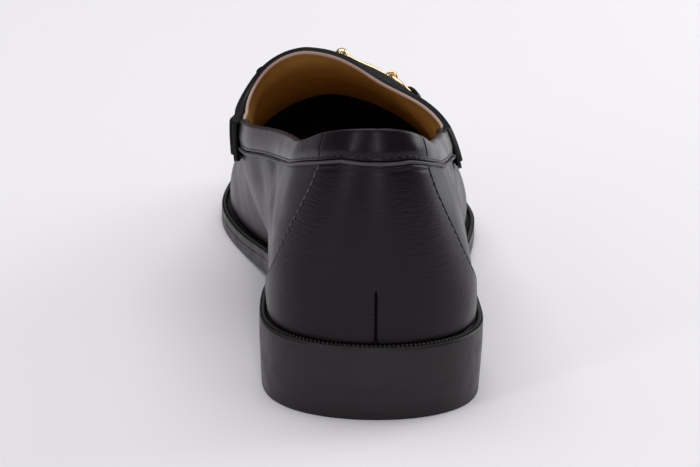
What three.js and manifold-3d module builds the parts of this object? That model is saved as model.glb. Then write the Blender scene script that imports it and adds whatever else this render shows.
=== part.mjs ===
// A right slip-on loafer with a saddle strap and a snaffle bit, in millimetres.
// The toe points along +Y, the inner (medial) side is -X, and the sole stands on Z = 0.

import * as THREE from 'three';
import { mergeVertices } from 'three/addons/utils/BufferGeometryUtils.js';
import Module from 'manifold-3d';

const wasm = await Module();
wasm.setup();

// Lengths and widths of the last and the sole
const soleLength = 262;
const heelSeatWidth = 56.4;
const ballWidth = 79.6;
const weltWidth = 3.2;

// Heights of the sole: the heel is measured from the floor to the top of the welt
const heelHeight = 21;
const heelLength = 61;
const toeSpring = 8.2;
const outsoleThickness = 3.7;
const weltThickness = 2.2;
const insoleThickness = 4.6;

// Heights of the upper above the top of the welt
const backHeight = 59.6;
const quarterHeight = 46;
const instepHeight = 66.9;
const toeBoxHeight = 35.9;

// Leather thicknesses
const wallThickness = 2.2;
const counterThickness = 1.1;
const collarBandThickness = 1.1;
const pipingThickness = 1.8;
const strapThickness = 1.8;
const apronSeamThickness = 1.8;

// Sizes of the pieces laid on the upper
const collarBandHeight = 7.2;
const pipingHeight = 1.5;
const strapDrop = 13;
const strapEndWidth = 24;
const strapRidgeWidth = 26;
const apronSeamWidth = 3;

// The snaffle bit and the leather loops that hold it
const bitCentreX = -0.08 * ballWidth;
const barLength = 33;
const ringDiameter = 11.8;
const ringWire = 1.9;
const armWire = 1.7;
const eyeWire = 1.1;
const beadDiameter = 4;
const loopThickness = 1.1;
const loopWidth = 5.5;

// Small shapings of the sole's edges
const outsoleEdge = 0.5;
const heelTaper = 0.9;

// Clearance that every pair of touching pieces keeps
const gap = 0.3;

// Worked out from the sizes above
const lastLength = soleLength - 2 * weltWidth;
const soleStack = outsoleThickness + gap + weltThickness;
const heelRise = heelHeight - soleStack;

// Feather line: where the upper meets the sole, as half widths of a named size
const featherRows = [
	{ at: 0.03, medial: 0.369, lateral: 0.369, of: heelSeatWidth },
	{ at: 0.08, medial: 0.486, lateral: 0.486, of: heelSeatWidth },
	{ at: 0.14, medial: 0.5, lateral: 0.5, of: heelSeatWidth },
	{ at: 0.22, medial: 0.482, lateral: 0.496, of: heelSeatWidth },
	{ at: 0.32, medial: 0.434, lateral: 0.479, of: heelSeatWidth },
	{ at: 0.42, medial: 0.436, lateral: 0.505, of: heelSeatWidth },
	{ at: 0.52, medial: 0.371, lateral: 0.402, of: ballWidth },
	{ at: 0.62, medial: 0.459, lateral: 0.452, of: ballWidth },
	{ at: 0.7, medial: 0.515, lateral: 0.475, of: ballWidth },
	{ at: 0.76, medial: 0.528, lateral: 0.46, of: ballWidth },
	{ at: 0.83, medial: 0.502, lateral: 0.417, of: ballWidth },
	{ at: 0.9, medial: 0.436, lateral: 0.332, of: ballWidth },
	{ at: 0.96, medial: 0.313, lateral: 0.206, of: ballWidth },
];
const toeTipShift = -0.055 * ballWidth;

// Underside of the outsole above the floor, along the sole from its back
const undersideRows = [
	{ at: 0, rise: 1, of: heelRise },
	{ at: 0.127, rise: 0.98, of: heelRise },
	{ at: 0.234, rise: 0.865, of: heelRise },
	{ at: 0.337, rise: 0.56, of: heelRise },
	{ at: 0.451, rise: 0.3, of: heelRise },
	{ at: 0.547, rise: 0.085, of: heelRise },
	{ at: 0.63, rise: -0.01, of: heelRise },
	{ at: 0.725, rise: -0.02, of: toeSpring },
	{ at: 0.814, rise: 0.146, of: toeSpring },
	{ at: 0.909, rise: 0.49, of: toeSpring },
	{ at: 1, rise: 1, of: toeSpring },
];

// Ridge: the highest line of the last, as height above the welt and sideways shift
const ridgeRows = [
	{ at: 0.078, rise: 1.079, of: instepHeight, shift: -0.019 },
	{ at: 0.196, rise: 1.037, of: instepHeight, shift: -0.038 },
	{ at: 0.313, rise: 1.055, of: instepHeight, shift: -0.088 },
	{ at: 0.411, rise: 1.04, of: instepHeight, shift: -0.163 },
	{ at: 0.5, rise: 0.965, of: instepHeight, shift: -0.226 },
	{ at: 0.567, rise: 0.879, of: instepHeight, shift: -0.18 },
	{ at: 0.646, rise: 0.765, of: instepHeight, shift: -0.12 },
	{ at: 0.724, rise: 1.22, of: toeBoxHeight, shift: -0.1 },
	{ at: 0.802, rise: 1, of: toeBoxHeight, shift: -0.1 },
	{ at: 0.861, rise: 0.844, of: toeBoxHeight, shift: -0.075 },
];

// The ridge runs from above the heel seat to above the toes, and ribs join it to the feather line
const ridgeStart = 0.11 * lastLength;
const ridgeEnd = 0.837 * lastLength;

// Swell: how far a rib leans out just above the feather line
const swellRows = [
	{ at: 0, medial: 0.035, lateral: 0.035, of: heelSeatWidth },
	{ at: 0.03, medial: 0.053, lateral: 0.044, of: heelSeatWidth },
	{ at: 0.08, medial: 0.08, lateral: 0.062, of: heelSeatWidth },
	{ at: 0.14, medial: 0.098, lateral: 0.071, of: heelSeatWidth },
	{ at: 0.22, medial: 0.142, lateral: 0.089, of: heelSeatWidth },
	{ at: 0.32, medial: 0.163, lateral: 0.069, of: ballWidth },
	{ at: 0.42, medial: 0.214, lateral: 0.082, of: ballWidth },
	{ at: 0.5, medial: 0.176, lateral: 0.088, of: ballWidth },
	{ at: 0.6, medial: 0.1, lateral: 0.063, of: ballWidth },
	{ at: 0.7, medial: 0.05, lateral: 0.044, of: ballWidth },
	{ at: 0.8, medial: 0.038, lateral: 0.031, of: ballWidth },
	{ at: 0.9, medial: 0.031, lateral: 0.031, of: ballWidth },
	{ at: 1, medial: 0.031, lateral: 0.031, of: ballWidth },
];

// Shoulder: how wide a rib stays just below the ridge
const shoulderRows = [
	{ at: 0, medial: 0.603, lateral: 0.603, of: heelSeatWidth },
	{ at: 0.03, medial: 0.426, lateral: 0.355, of: heelSeatWidth },
	{ at: 0.08, medial: 0.355, lateral: 0.23, of: heelSeatWidth },
	{ at: 0.14, medial: 0.328, lateral: 0.239, of: heelSeatWidth },
	{ at: 0.22, medial: 0.363, lateral: 0.337, of: heelSeatWidth },
	{ at: 0.32, medial: 0.314, lateral: 0.352, of: ballWidth },
	{ at: 0.42, medial: 0.352, lateral: 0.459, of: ballWidth },
	{ at: 0.5, medial: 0.352, lateral: 0.465, of: ballWidth },
	{ at: 0.6, medial: 0.352, lateral: 0.452, of: ballWidth },
	{ at: 0.7, medial: 0.364, lateral: 0.427, of: ballWidth },
	{ at: 0.8, medial: 0.364, lateral: 0.389, of: ballWidth },
	{ at: 0.9, medial: 0.364, lateral: 0.371, of: ballWidth },
	{ at: 1, medial: 0.377, lateral: 0.377, of: ballWidth },
];

// Share of its height at which a rib has its swell, behind and at the toes
const heelRibLift = 0.36;
const toeRibLift = 0.42;
const toeLiftStart = 0.6;
const toeLiftEnd = 0.9;

// The inner and the outer side pass into each other at the heel and the toe
const sideSoftness = 0.1;

// Topline of the collar above the welt, on each side
const toplineRows = [
	{ at: 0.016, medial: 1, lateral: 1, of: backHeight },
	{ at: 0.039, medial: 0.966, lateral: 0.95, of: backHeight },
	{ at: 0.063, medial: 0.926, lateral: 0.9, of: backHeight },
	{ at: 0.102, medial: 0.852, lateral: 0.843, of: backHeight },
	{ at: 0.149, medial: 0.808, lateral: 0.805, of: backHeight },
	{ at: 0.203, medial: 1.01, lateral: 1.006, of: quarterHeight },
	{ at: 0.305, medial: 0.996, lateral: 0.98, of: quarterHeight },
	{ at: 0.391, medial: 0.987, lateral: 0.965, of: quarterHeight },
	{ at: 0.423, medial: 1, lateral: 0.98, of: quarterHeight },
];

// The throat turns up from the topline and reaches the ridge, along the last
const throatStart = 0.405;
const throatEnd = 0.548;
const throatBend = 1.6;

// The raised seam runs round the vamp at a climb of the ribs that grows towards the toe
const seamClimb = 0.62;
const seamToeClimb = 0.7;

// Front edge of the counter: distance from the back of the last at each height above the welt
const counterRows = [
	{ rise: -0.1, front: 0.9 },
	{ rise: 0.09, front: 0.56 },
	{ rise: 0.27, front: 0.33 },
	{ rise: 0.41, front: 0.26 },
	{ rise: 0.56, front: 0.21 },
	{ rise: 0.7, front: 0.17 },
	{ rise: 1, front: 0.16 },
];

// Natural cubic spline through the rows of a table
function spline(xs, ys) {
	const count = xs.length;
	const slope = new Array(count).fill(0);
	const bend = new Array(count).fill(0);
	for (let i = 1; i < count - 1; i++) {
		const before = xs[i] - xs[i - 1];
		const after = xs[i + 1] - xs[i];
		const turn = 6 * ((ys[i + 1] - ys[i]) / after - (ys[i] - ys[i - 1]) / before);
		const pivot = 2 * (before + after) - before * slope[i - 1];
		slope[i] = after / pivot;
		bend[i] = (turn - before * bend[i - 1]) / pivot;
	}
	const second = new Array(count).fill(0);
	for (let i = count - 2; i > 0; i--) {
		second[i] = bend[i] - slope[i] * second[i + 1];
	}
	return (x) => {
		let i = 0;
		while (i < count - 2 && x > xs[i + 1]) i++;
		const step = xs[i + 1] - xs[i];
		const a = (xs[i + 1] - x) / step;
		const b = (x - xs[i]) / step;
		const curve = (a ** 3 - a) * second[i] + (b ** 3 - b) * second[i + 1];
		return a * ys[i] + b * ys[i + 1] + (curve * step * step) / 6;
	};
}

// A column of a table as a function of the share along the last
function column(rows, name) {
	return spline(rows.map((row) => row.at), rows.map((row) => row[name] * (row.of ?? ballWidth)));
}

const clamp = THREE.MathUtils.clamp;
const alongLast = (turn) => (lastLength * (1 - Math.cos(turn))) / 2;

// Half widths of the feather line against the turn around it, from the heel over the
// outer side (0 to pi) and back along the inner side (pi to 2 pi)
function featherSpline() {
	const turns = [0];
	const halves = [0];
	const outer = featherRows.map((row) => [Math.acos(1 - 2 * row.at), row.lateral * row.of]);
	const inner = featherRows.map((row) => [2 * Math.PI - Math.acos(1 - 2 * row.at), -row.medial * row.of]);
	for (const [turn, half] of [...outer, [Math.PI, toeTipShift], ...inner.reverse()]) {
		turns.push(turn);
		halves.push(half);
	}
	const wrap = 4;
	const turnsBefore = turns.slice(-wrap).map((turn) => turn - 2 * Math.PI);
	const turnsAfter = turns.slice(0, wrap).map((turn) => turn + 2 * Math.PI);
	return spline(
		[...turnsBefore, ...turns, ...turnsAfter],
		[...halves.slice(-wrap), ...halves, ...halves.slice(0, wrap)],
	);
}

const featherHalf = featherSpline();

// Point of the feather line, moved outwards in plan by an offset
function feather(turn, offset = 0) {
	const step = 0.001;
	const before = new THREE.Vector2(featherHalf(turn - step), alongLast(turn - step));
	const after = new THREE.Vector2(featherHalf(turn + step), alongLast(turn + step));
	const along = after.sub(before).normalize();
	return new THREE.Vector2(featherHalf(turn) + along.y * offset, alongLast(turn) - along.x * offset);
}

// Heights of the sole at a distance from the back of the last
const undersideSpline = column(undersideRows, 'rise');
const underside = (y) => Math.max(0, undersideSpline((y + weltWidth) / soleLength));
const outsoleTop = (y) => underside(y) + outsoleThickness;
const weltTop = (y) => underside(y) + soleStack;
const featherHeight = (y) => weltTop(y) + gap;

const ridgeRise = column(ridgeRows, 'rise');
const ridgeShift = spline(ridgeRows.map((row) => row.at), ridgeRows.map((row) => row.shift * ballWidth));
const ridgeTop = (y) => weltTop(y) + ridgeRise(y / lastLength);

const bothSides = (rows) => ({ medial: column(rows, 'medial'), lateral: column(rows, 'lateral') });
const swell = bothSides(swellRows);
const shoulder = bothSides(shoulderRows);
const topline = bothSides(toplineRows);

// Blend of an inner and an outer value: 0 on the inner side, 1 on the outer side
function sideBlend(turn) {
	const across = Math.sin(turn);
	return 0.5 * (1 + across / Math.sqrt(across * across + sideSoftness));
}

function blendSides(pair, turn, share) {
	const outer = sideBlend(turn);
	return outer * pair.lateral(share) + (1 - outer) * pair.medial(share);
}

// Point of the last: turn goes around the feather line, climb from it (0) to the ridge (1).
// A rib that runs across the shoe bends to meet the ridge squarely.
function lastPoint(turn, climb) {
	const foot = feather(turn);
	const share = clamp(foot.y / lastLength, 0, 1);
	const ridgeY = ridgeStart + (ridgeEnd - ridgeStart) * share;
	const ridge = new THREE.Vector2(ridgeShift(ridgeY / lastLength), ridgeY);
	const reach = foot.distanceTo(ridge);
	const across = foot.clone().sub(ridge).divideScalar(reach);
	const out = blendSides(swell, turn, share);
	const wide = blendSides(shoulder, turn, share);
	const toeShare = THREE.MathUtils.smoothstep(share, toeLiftStart, toeLiftEnd);
	const lift = heelRibLift + (toeRibLift - heelRibLift) * toeShare;
	const left = 1 - climb;
	const low = 3 * left * left * climb;
	const high = 3 * left * climb * climb;
	const radius = reach * left ** 3 + (reach + out) * low + wide * high;
	const square = across.x ** 4;
	const y = ridge.y + across.y * radius * (1 - square + (square * radius) / reach);
	const slope = ridgeTop(ridge.y + 0.5) - ridgeTop(ridge.y - 0.5);
	const top = ridgeTop(ridge.y) + slope * (y - ridge.y);
	const base = featherHeight(foot.y);
	const z = base + (top - base) * (lift * low + high + climb ** 3);
	return new THREE.Vector3(ridge.x + across.x * radius, y, z);
}

// Height of the topline over the floor
function toplineHeight(turn, y) {
	const share = clamp(y / lastLength, toplineRows[0].at, throatStart);
	return weltTop(y) + blendSides(topline, turn, share);
}

// How far each rib climbs before it meets the opening: to the topline, then up the throat
function openingClimb(turn) {
	let low = 0;
	let high = 1;
	for (let i = 0; i < 30; i++) {
		const middle = (low + high) / 2;
		const point = lastPoint(turn, middle);
		if (point.z < toplineHeight(turn, point.y)) low = middle;
		else high = middle;
	}
	const share = alongLast(turn) / lastLength;
	const along = clamp((share - throatStart) / (throatEnd - throatStart), 0, 1);
	return low + (1 - low) * (1 - Math.sqrt(1 - along ** throatBend));
}

// Share of the throat at which its edge has climbed a given part of the way
const throatShare = (climbed) => (1 - (1 - climbed) ** 2) ** (1 / throatBend);

// Turns at which the ribs stand on the outer side. In the throat they stand closer
// together where its edge climbs faster.
const turnAt = (share) => Math.acos(clamp(1 - 2 * share, -1, 1));
function sideTurns(heelRibs, throatRibs, toeRibs) {
	const turns = [];
	for (let i = 0; i < heelRibs; i++) turns.push((turnAt(throatStart) * i) / heelRibs);
	for (let i = 0; i < throatRibs; i++) {
		turns.push(turnAt(throatStart + (throatEnd - throatStart) * throatShare(i / throatRibs)));
	}
	const last = turnAt(throatEnd);
	for (let i = 0; i < toeRibs; i++) turns.push(last + ((Math.PI - last) * i) / toeRibs);
	return turns;
}

const outerTurns = sideTurns(12, 7, 12);
const innerTurns = outerTurns.slice(1).reverse().map((turn) => 2 * Math.PI - turn);
const ribTurns = [...outerTurns, Math.PI, ...innerTurns];
const lowSteps = 5;
const ribSteps = 12;
const lowClimb = 0.36;

// The lower steps stand level on every rib, and the upper ones spread to the opening
function stepClimb(step, edgeClimb) {
	if (step <= lowSteps) return (lowClimb * step) / lowSteps;
	return lowClimb + ((edgeClimb - lowClimb) * (step - lowSteps)) / (ribSteps - lowSteps);
}

function makeGeometry(points, faces) {
	const geometry = new THREE.BufferGeometry();
	const coordinates = points.flatMap((point) => [point.x, point.y, point.z]);
	geometry.setAttribute('position', new THREE.Float32BufferAttribute(coordinates, 3));
	geometry.setIndex(faces.flat());
	return geometry;
}

// The ribs as a grid of points with normals. Ribs in front of the throat share their
// ridge point with the rib across from them.
function lastForm() {
	const count = ribTurns.length;
	const climbs = ribTurns.map(openingClimb);
	const points = [];
	const place = ribTurns.map(() => []);
	for (let j = 0; j < count; j++) {
		const across = (count - j) % count;
		for (let i = 0; i <= ribSteps; i++) {
			const shared = i === ribSteps && climbs[j] === 1 && across < j;
			if (shared) {
				place[j].push(place[across][i]);
				continue;
			}
			place[j].push(points.length);
			points.push(lastPoint(ribTurns[j], stepClimb(i, climbs[j])));
		}
	}
	const faces = [];
	const footEdges = [];
	const openingEdges = [];
	for (let j = 0; j < count; j++) {
		const here = place[j];
		const next = place[(j + 1) % count];
		for (let i = 0; i < ribSteps; i++) {
			const cell = [here[i], next[i], next[i + 1], here[i + 1]];
			const [a, b, c, d] = cell.map((index) => points[index]);
			if (b.distanceTo(d) < a.distanceTo(c)) cell.push(cell.shift());
			faces.push([cell[0], cell[1], cell[2]], [cell[0], cell[2], cell[3]]);
		}
		footEdges.push([here[0], next[0]]);
		const onRidge = climbs[j] === 1 && climbs[(j + 1) % count] === 1;
		if (!onRidge) openingEdges.push([here[ribSteps], next[ribSteps]]);
	}
	const geometry = makeGeometry(points, faces);
	geometry.computeVertexNormals();
	const normal = geometry.getAttribute('normal');
	const normals = points.map((point, i) => new THREE.Vector3().fromBufferAttribute(normal, i));
	for (const [foot] of footEdges) normals[foot].setZ(0).normalize();
	return { points, normals, faces, footEdges, openingEdges };
}

const form = lastForm();

// Closed wall between two offsets of the last, open underneath and at the collar
function wallGeometry(inner, outer) {
	const count = form.points.length;
	const movedPoint = (point, i, offset) => point.clone().addScaledVector(form.normals[i], offset);
	const moved = (offset) => form.points.map((point, i) => movedPoint(point, i, offset));
	const faces = form.faces.map((face) => [...face]);
	for (const [a, b, c] of form.faces) faces.push([c + count, b + count, a + count]);
	for (const [a, b] of form.footEdges) faces.push([a, a + count, b], [b, a + count, b + count]);
	for (const [a, b] of form.openingEdges) faces.push([a, b, a + count], [b, b + count, a + count]);
	return makeGeometry([...moved(outer), ...moved(inner)], faces);
}

// Boolean solids
function toSolid(geometry) {
	const bare = geometry.clone();
	bare.deleteAttribute('normal');
	bare.deleteAttribute('uv');
	const merged = mergeVertices(bare, 1e-4);
	return new wasm.Manifold(new wasm.Mesh({
		numProp: 3,
		vertProperties: Float32Array.from(merged.getAttribute('position').array),
		triVerts: Uint32Array.from(merged.getIndex().array),
	}));
}

function fromSolid(solid) {
	const mesh = solid.getMesh();
	const geometry = new THREE.BufferGeometry();
	geometry.setAttribute('position', new THREE.BufferAttribute(Float32Array.from(mesh.vertProperties), 3));
	geometry.setIndex(new THREE.BufferAttribute(Uint32Array.from(mesh.triVerts), 1));
	return geometry;
}

// A side profile in Y and Z, run across the whole width of the shoe
function acrossSolid(profile) {
	const shape = new THREE.Shape(profile);
	const geometry = new THREE.ExtrudeGeometry(shape, { depth: 2 * ballWidth, bevelEnabled: false });
	const turn = new THREE.Matrix4().makeBasis(
		new THREE.Vector3(0, 1, 0),
		new THREE.Vector3(0, 0, 1),
		new THREE.Vector3(1, 0, 0),
	);
	geometry.applyMatrix4(turn);
	geometry.translate(-ballWidth, 0, 0);
	return toSolid(geometry);
}

// A piece laid on the upper: the wall between two offsets, kept inside a cutter
function overlay(thickness, cutter) {
	return toSolid(wallGeometry(gap, gap + thickness)).intersect(cutter);
}

// A slab from rings that all start at the heel and run counter-clockwise, with strips
// straight across for its two faces
function slabGeometry(rings) {
	const count = rings[0].length;
	const faces = [];
	for (let k = 0; k < rings.length - 1; k++) {
		for (let j = 0; j < count; j++) {
			const a = k * count + j;
			const b = k * count + ((j + 1) % count);
			faces.push([a, b, b + count], [a, b + count, a + count]);
		}
	}
	const top = (rings.length - 1) * count;
	for (let j = 0; j < count - j - 1; j++) {
		const across = (count - j) % count;
		const strip = [j, j + 1, count - j - 1, across];
		if (j > 0) {
			faces.push([strip[3], strip[2], strip[0]]);
			faces.push([top + strip[0], top + strip[2], top + strip[3]]);
		}
		if (j + 1 < count - j - 1) {
			faces.push([strip[2], strip[1], strip[0]]);
			faces.push([top + strip[0], top + strip[1], top + strip[2]]);
		}
	}
	return makeGeometry(rings.flat(), faces);
}

// A closed band whose cross-section passes through the given rings in turn
function bandGeometry(rings) {
	const count = rings[0].length;
	const faces = [];
	for (let k = 0; k < rings.length; k++) {
		const next = (k + 1) % rings.length;
		for (let j = 0; j < count; j++) {
			const a = k * count + j;
			const b = k * count + ((j + 1) % count);
			const c = next * count + ((j + 1) % count);
			const d = next * count + j;
			faces.push([a, b, c], [a, c, d]);
		}
	}
	return makeGeometry(rings.flat(), faces);
}

// Ring of points on an offset of the feather line at a height that depends on Y
function soleRing(turns, offset, height) {
	return turns.map((turn) => {
		const point = feather(turn, offset);
		return new THREE.Vector3(point.x, point.y, height(point.y));
	});
}

function outsoleGeometry() {
	return slabGeometry([
		soleRing(ribTurns, weltWidth - outsoleEdge, underside),
		soleRing(ribTurns, weltWidth, (y) => underside(y) + outsoleEdge),
		soleRing(ribTurns, weltWidth, outsoleTop),
	]);
}

function weltGeometry() {
	const low = (y) => outsoleTop(y) + gap;
	const inner = -(wallThickness + gap);
	return bandGeometry([
		soleRing(ribTurns, weltWidth, low),
		soleRing(ribTurns, weltWidth, weltTop),
		soleRing(ribTurns, inner, weltTop),
		soleRing(ribTurns, inner, low),
	]);
}

function insoleGeometry() {
	const offset = -(wallThickness + 3 * gap);
	const low = (y) => outsoleTop(y) + gap;
	return slabGeometry([
		soleRing(ribTurns, offset, low),
		soleRing(ribTurns, offset, (y) => low(y) + insoleThickness),
	]);
}

// The heel stops at a straight breast across the sole
function heelGeometry() {
	const breast = heelLength - weltWidth;
	let low = 0;
	let high = Math.PI / 2;
	for (let i = 0; i < 30; i++) {
		const middle = (low + high) / 2;
		if (feather(middle, weltWidth).y < breast) low = middle;
		else high = middle;
	}
	const steps = 13;
	const outer = Array.from({ length: steps }, (_, i) => (low * (i + 1)) / steps);
	const turns = [0, ...outer, ...outer.toReversed().map((turn) => 2 * Math.PI - turn)];
	return slabGeometry([
		soleRing(turns, weltWidth - heelTaper, () => 0),
		soleRing(turns, weltWidth, (y) => underside(y) - gap),
	]);
}

const outlinePoints = (pairs) => pairs.map(([y, z]) => new THREE.Vector2(y, z));

// Side profile between a lower and an upper line, both running forward
function profileBetween(lower, upper) {
	return outlinePoints([...lower, ...upper.toReversed()]);
}

const aboveShoe = heelHeight + 2 * Math.max(backHeight, instepHeight);
const behindShoe = -2 * weltWidth;
const throatCornerY = throatStart * lastLength;
const throatCornerHeight = weltTop(throatCornerY) + quarterHeight;
const throatTopY = ridgeStart + (ridgeEnd - ridgeStart) * throatEnd;

// Front edge of the strap in side view at a height over the floor
function strapFrontY(z) {
	const end = throatCornerHeight - strapDrop;
	const ridgeFrontY = throatTopY + strapRidgeWidth;
	const lean = (ridgeFrontY - throatCornerY - strapEndWidth) / (ridgeTop(ridgeFrontY) - end);
	return throatCornerY + strapEndWidth + lean * (z - end);
}

// The strap's share of the upper in side view, grown all round by a margin. Its back
// edge drops from the throat corner, and its front edge leans forward to the ridge.
function strapRegion(margin = 0) {
	const end = throatCornerHeight - strapDrop - margin;
	const inThroat = throatCornerY - strapEndWidth / 2;
	return acrossSolid(outlinePoints([
		[throatCornerY - margin, end],
		[strapFrontY(end) + margin, end],
		[strapFrontY(aboveShoe) + margin, aboveShoe],
		[inThroat - margin, aboveShoe],
		[inThroat - margin, throatCornerHeight + strapDrop / 2],
		[throatCornerY - margin, throatCornerHeight],
	]));
}

// Lower edge of the collar band in side view
function bandLowerHeight(y) {
	const share = clamp(y / lastLength, toplineRows[0].at, throatStart);
	const height = (topline.medial(share) + topline.lateral(share)) / 2;
	return weltTop(Math.max(0, y)) + height - collarBandHeight;
}

function bandLine(from, to, drop) {
	const steps = 22;
	return Array.from({ length: steps + 1 }, (_, i) => {
		const y = from + ((to - from) * i) / steps;
		return [y, bandLowerHeight(y) - drop];
	});
}

const bandEndY = throatCornerY + strapEndWidth / 2;

function collarBandSolid() {
	const lower = bandLine(behindShoe, bandEndY, 0);
	const upper = [[behindShoe, aboveShoe], [bandEndY, aboveShoe]];
	const region = acrossSolid(profileBetween(lower, upper)).subtract(strapRegion(gap));
	return overlay(collarBandThickness, region);
}

function collarPipingSolid() {
	const lower = bandLine(behindShoe, bandEndY, gap + pipingHeight);
	const upper = bandLine(behindShoe, bandEndY, gap);
	const region = acrossSolid(profileBetween(lower, upper)).subtract(strapRegion(gap));
	return overlay(pipingThickness, region);
}

function counterSolid() {
	const front = counterRows.map((row) => [row.front * heelLength, heelHeight + row.rise * backHeight]);
	const back = [[behindShoe, front[front.length - 1][1]], [behindShoe, front[0][1]]];
	const behindSeams = acrossSolid(outlinePoints([...front, ...back]));
	const below = bandLine(behindShoe, heelLength, 2 * gap + pipingHeight);
	const floor = [[behindShoe, 0], [heelLength, 0]];
	const belowBand = acrossSolid(profileBetween(floor, below));
	return overlay(counterThickness, behindSeams.intersect(belowBand));
}

function saddleStrapSolid() {
	return overlay(strapThickness, strapRegion());
}

// Everything in front of the strap, from a margin ahead of its front edge
function frontRegion(margin) {
	const farToe = 2 * lastLength;
	return acrossSolid(outlinePoints([
		[strapFrontY(0) + margin, 0],
		[farToe, 0],
		[farToe, aboveShoe],
		[strapFrontY(aboveShoe) + margin, aboveShoe],
	]));
}

// Outward normal of the last, from two small steps along it
function lastNormal(turn, climb) {
	const step = 0.002;
	const around = lastPoint(turn + step, climb).sub(lastPoint(turn - step, climb));
	const up = lastPoint(turn, climb + step).sub(lastPoint(turn, climb - step));
	return around.cross(up).normalize();
}

// A closed body through sections that each have the same number of points
function sweepGeometry(sections) {
	const count = sections[0].length;
	const faces = [];
	for (let k = 0; k < sections.length - 1; k++) {
		for (let i = 0; i < count; i++) {
			const a = k * count + i;
			const b = k * count + ((i + 1) % count);
			faces.push([a, b, b + count], [a, b + count, a + count]);
		}
	}
	const last = (sections.length - 1) * count;
	for (let i = 1; i < count - 1; i++) {
		faces.push([0, i + 1, i], [last, last + i, last + i + 1]);
	}
	return makeGeometry(sections.flat(), faces);
}

// Raised seam round the vamp: its cross-section as shares of its width and thickness
const seamSection = [
	{ up: -0.5, out: 0 },
	{ up: 0.5, out: 0 },
	{ up: 0.36, out: 0.75 },
	{ up: 0, out: 1 },
	{ up: -0.36, out: 0.75 },
];

// Climb of the raised seam on the rib at a turn
function seamClimbAt(turn) {
	const toeShare = THREE.MathUtils.smoothstep(alongLast(turn) / lastLength, throatEnd, 1);
	return seamClimb + (seamToeClimb - seamClimb) * toeShare;
}

function apronSeamSolid() {
	const steps = 34;
	const nearby = 0.01;
	const from = turnAt(throatStart);
	const seamPoint = (turn) => lastPoint(turn, seamClimbAt(turn));
	const sections = [];
	for (let i = 0; i <= steps; i++) {
		const turn = from + (2 * (Math.PI - from) * i) / steps;
		const centre = seamPoint(turn);
		const out = lastNormal(turn, seamClimbAt(turn));
		const along = seamPoint(turn + nearby).sub(seamPoint(turn - nearby));
		const up = out.clone().cross(along).normalize();
		sections.push(seamSection.map((corner) => centre.clone()
			.addScaledVector(up, corner.up * apronSeamWidth)
			.addScaledVector(out, gap + corner.out * apronSeamThickness)));
	}
	return toSolid(sweepGeometry(sections)).intersect(frontRegion(gap));
}

// How far a point lies in front of the plane through the middle of the strap
function aheadOfStrapMiddle(point) {
	const end = throatCornerHeight - strapDrop;
	const lean = strapFrontY(end + 1) - strapFrontY(end);
	return point.y - bandEndY - lean * (point.z - end);
}

// Middle line of the strap on one side of the last, from its end up to the ridge
function strapSideLine(inner) {
	const steps = 60;
	const foot = 0.1;
	const nearRidge = 0.995;
	const line = [];
	for (let step = 0; step < steps; step++) {
		const share = throatStart + ((1 - throatStart) * step) / steps;
		const turn = inner ? 2 * Math.PI - turnAt(share) : turnAt(share);
		let low = foot;
		let high = 1;
		const crosses = aheadOfStrapMiddle(lastPoint(turn, low)) > 0;
		if (!crosses || aheadOfStrapMiddle(lastPoint(turn, high)) > 0) continue;
		for (let i = 0; i < 30; i++) {
			const middle = (low + high) / 2;
			if (aheadOfStrapMiddle(lastPoint(turn, middle)) > 0) low = middle;
			else high = middle;
		}
		const climb = Math.min(low, nearRidge);
		line.push({ point: lastPoint(turn, climb), out: lastNormal(turn, climb) });
	}
	return line;
}

const middleLine = [...strapSideLine(false), ...strapSideLine(true).reverse()];

// Length along the middle line up to each of its points
const middleLengths = [0];
for (let i = 1; i < middleLine.length; i++) {
	const step = middleLine[i].point.distanceTo(middleLine[i - 1].point);
	middleLengths.push(middleLengths[i - 1] + step);
}

// Length along the middle line at which it passes under the middle of the bit
function bitCentreLength() {
	const next = middleLine.findIndex((station) => station.point.x < bitCentreX);
	const before = middleLine[next - 1].point.x;
	const share = (before - bitCentreX) / (before - middleLine[next].point.x);
	return THREE.MathUtils.lerp(middleLengths[next - 1], middleLengths[next], share);
}

// Place on the strap's middle line at a distance from the middle of the bit, outer side
// positive: a point on the last, the outward normal and the direction to the outer side
function strapPlace(distance) {
	const target = bitCentreLength() - distance;
	const next = middleLengths.findIndex((length) => length > target);
	const i = next < 1 ? middleLine.length - 1 : next;
	const [before, after] = [middleLine[i - 1], middleLine[i]];
	const share = (target - middleLengths[i - 1]) / (middleLengths[i] - middleLengths[i - 1]);
	const point = before.point.clone().lerp(after.point, share);
	const out = before.out.clone().lerp(after.out, share).normalize();
	const across = before.point.clone().sub(after.point);
	across.addScaledVector(out, -across.dot(out)).normalize();
	return { point, out, across };
}

const strapTop = gap + strapThickness;
const eyeRadius = ringWire / 2 + gap + eyeWire / 2;
const eyeLift = strapTop + gap + eyeRadius + eyeWire / 2;
const beadLift = strapTop + gap + beadDiameter / 2;
const ringRadius = (ringDiameter - ringWire) / 2;

// Places a geometry by three axes and an origin
function placed(geometry, x, y, z, origin) {
	return geometry.applyMatrix4(new THREE.Matrix4().makeBasis(x, y, z).setPosition(origin));
}

const lifted = (place, lift) => place.point.clone().addScaledVector(place.out, lift);

// Height of the ring's wire at its outer side, where it lies under the loop. The strap
// bulges between there and the eye, so the flat ring is raised by that bulge.
function ringOuterLift(side) {
	const eyeDistance = barLength / 2;
	const near = strapPlace(side * eyeDistance);
	const middle = strapPlace(side * (eyeDistance + ringRadius));
	const far = strapPlace(side * (eyeDistance + 2 * ringRadius));
	const chordMiddle = near.point.clone().add(far.point).multiplyScalar(0.5);
	const bulge = middle.point.clone().sub(chordMiddle).dot(middle.out);
	return strapTop + gap + ringWire / 2 + Math.max(0, bulge);
}

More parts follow.
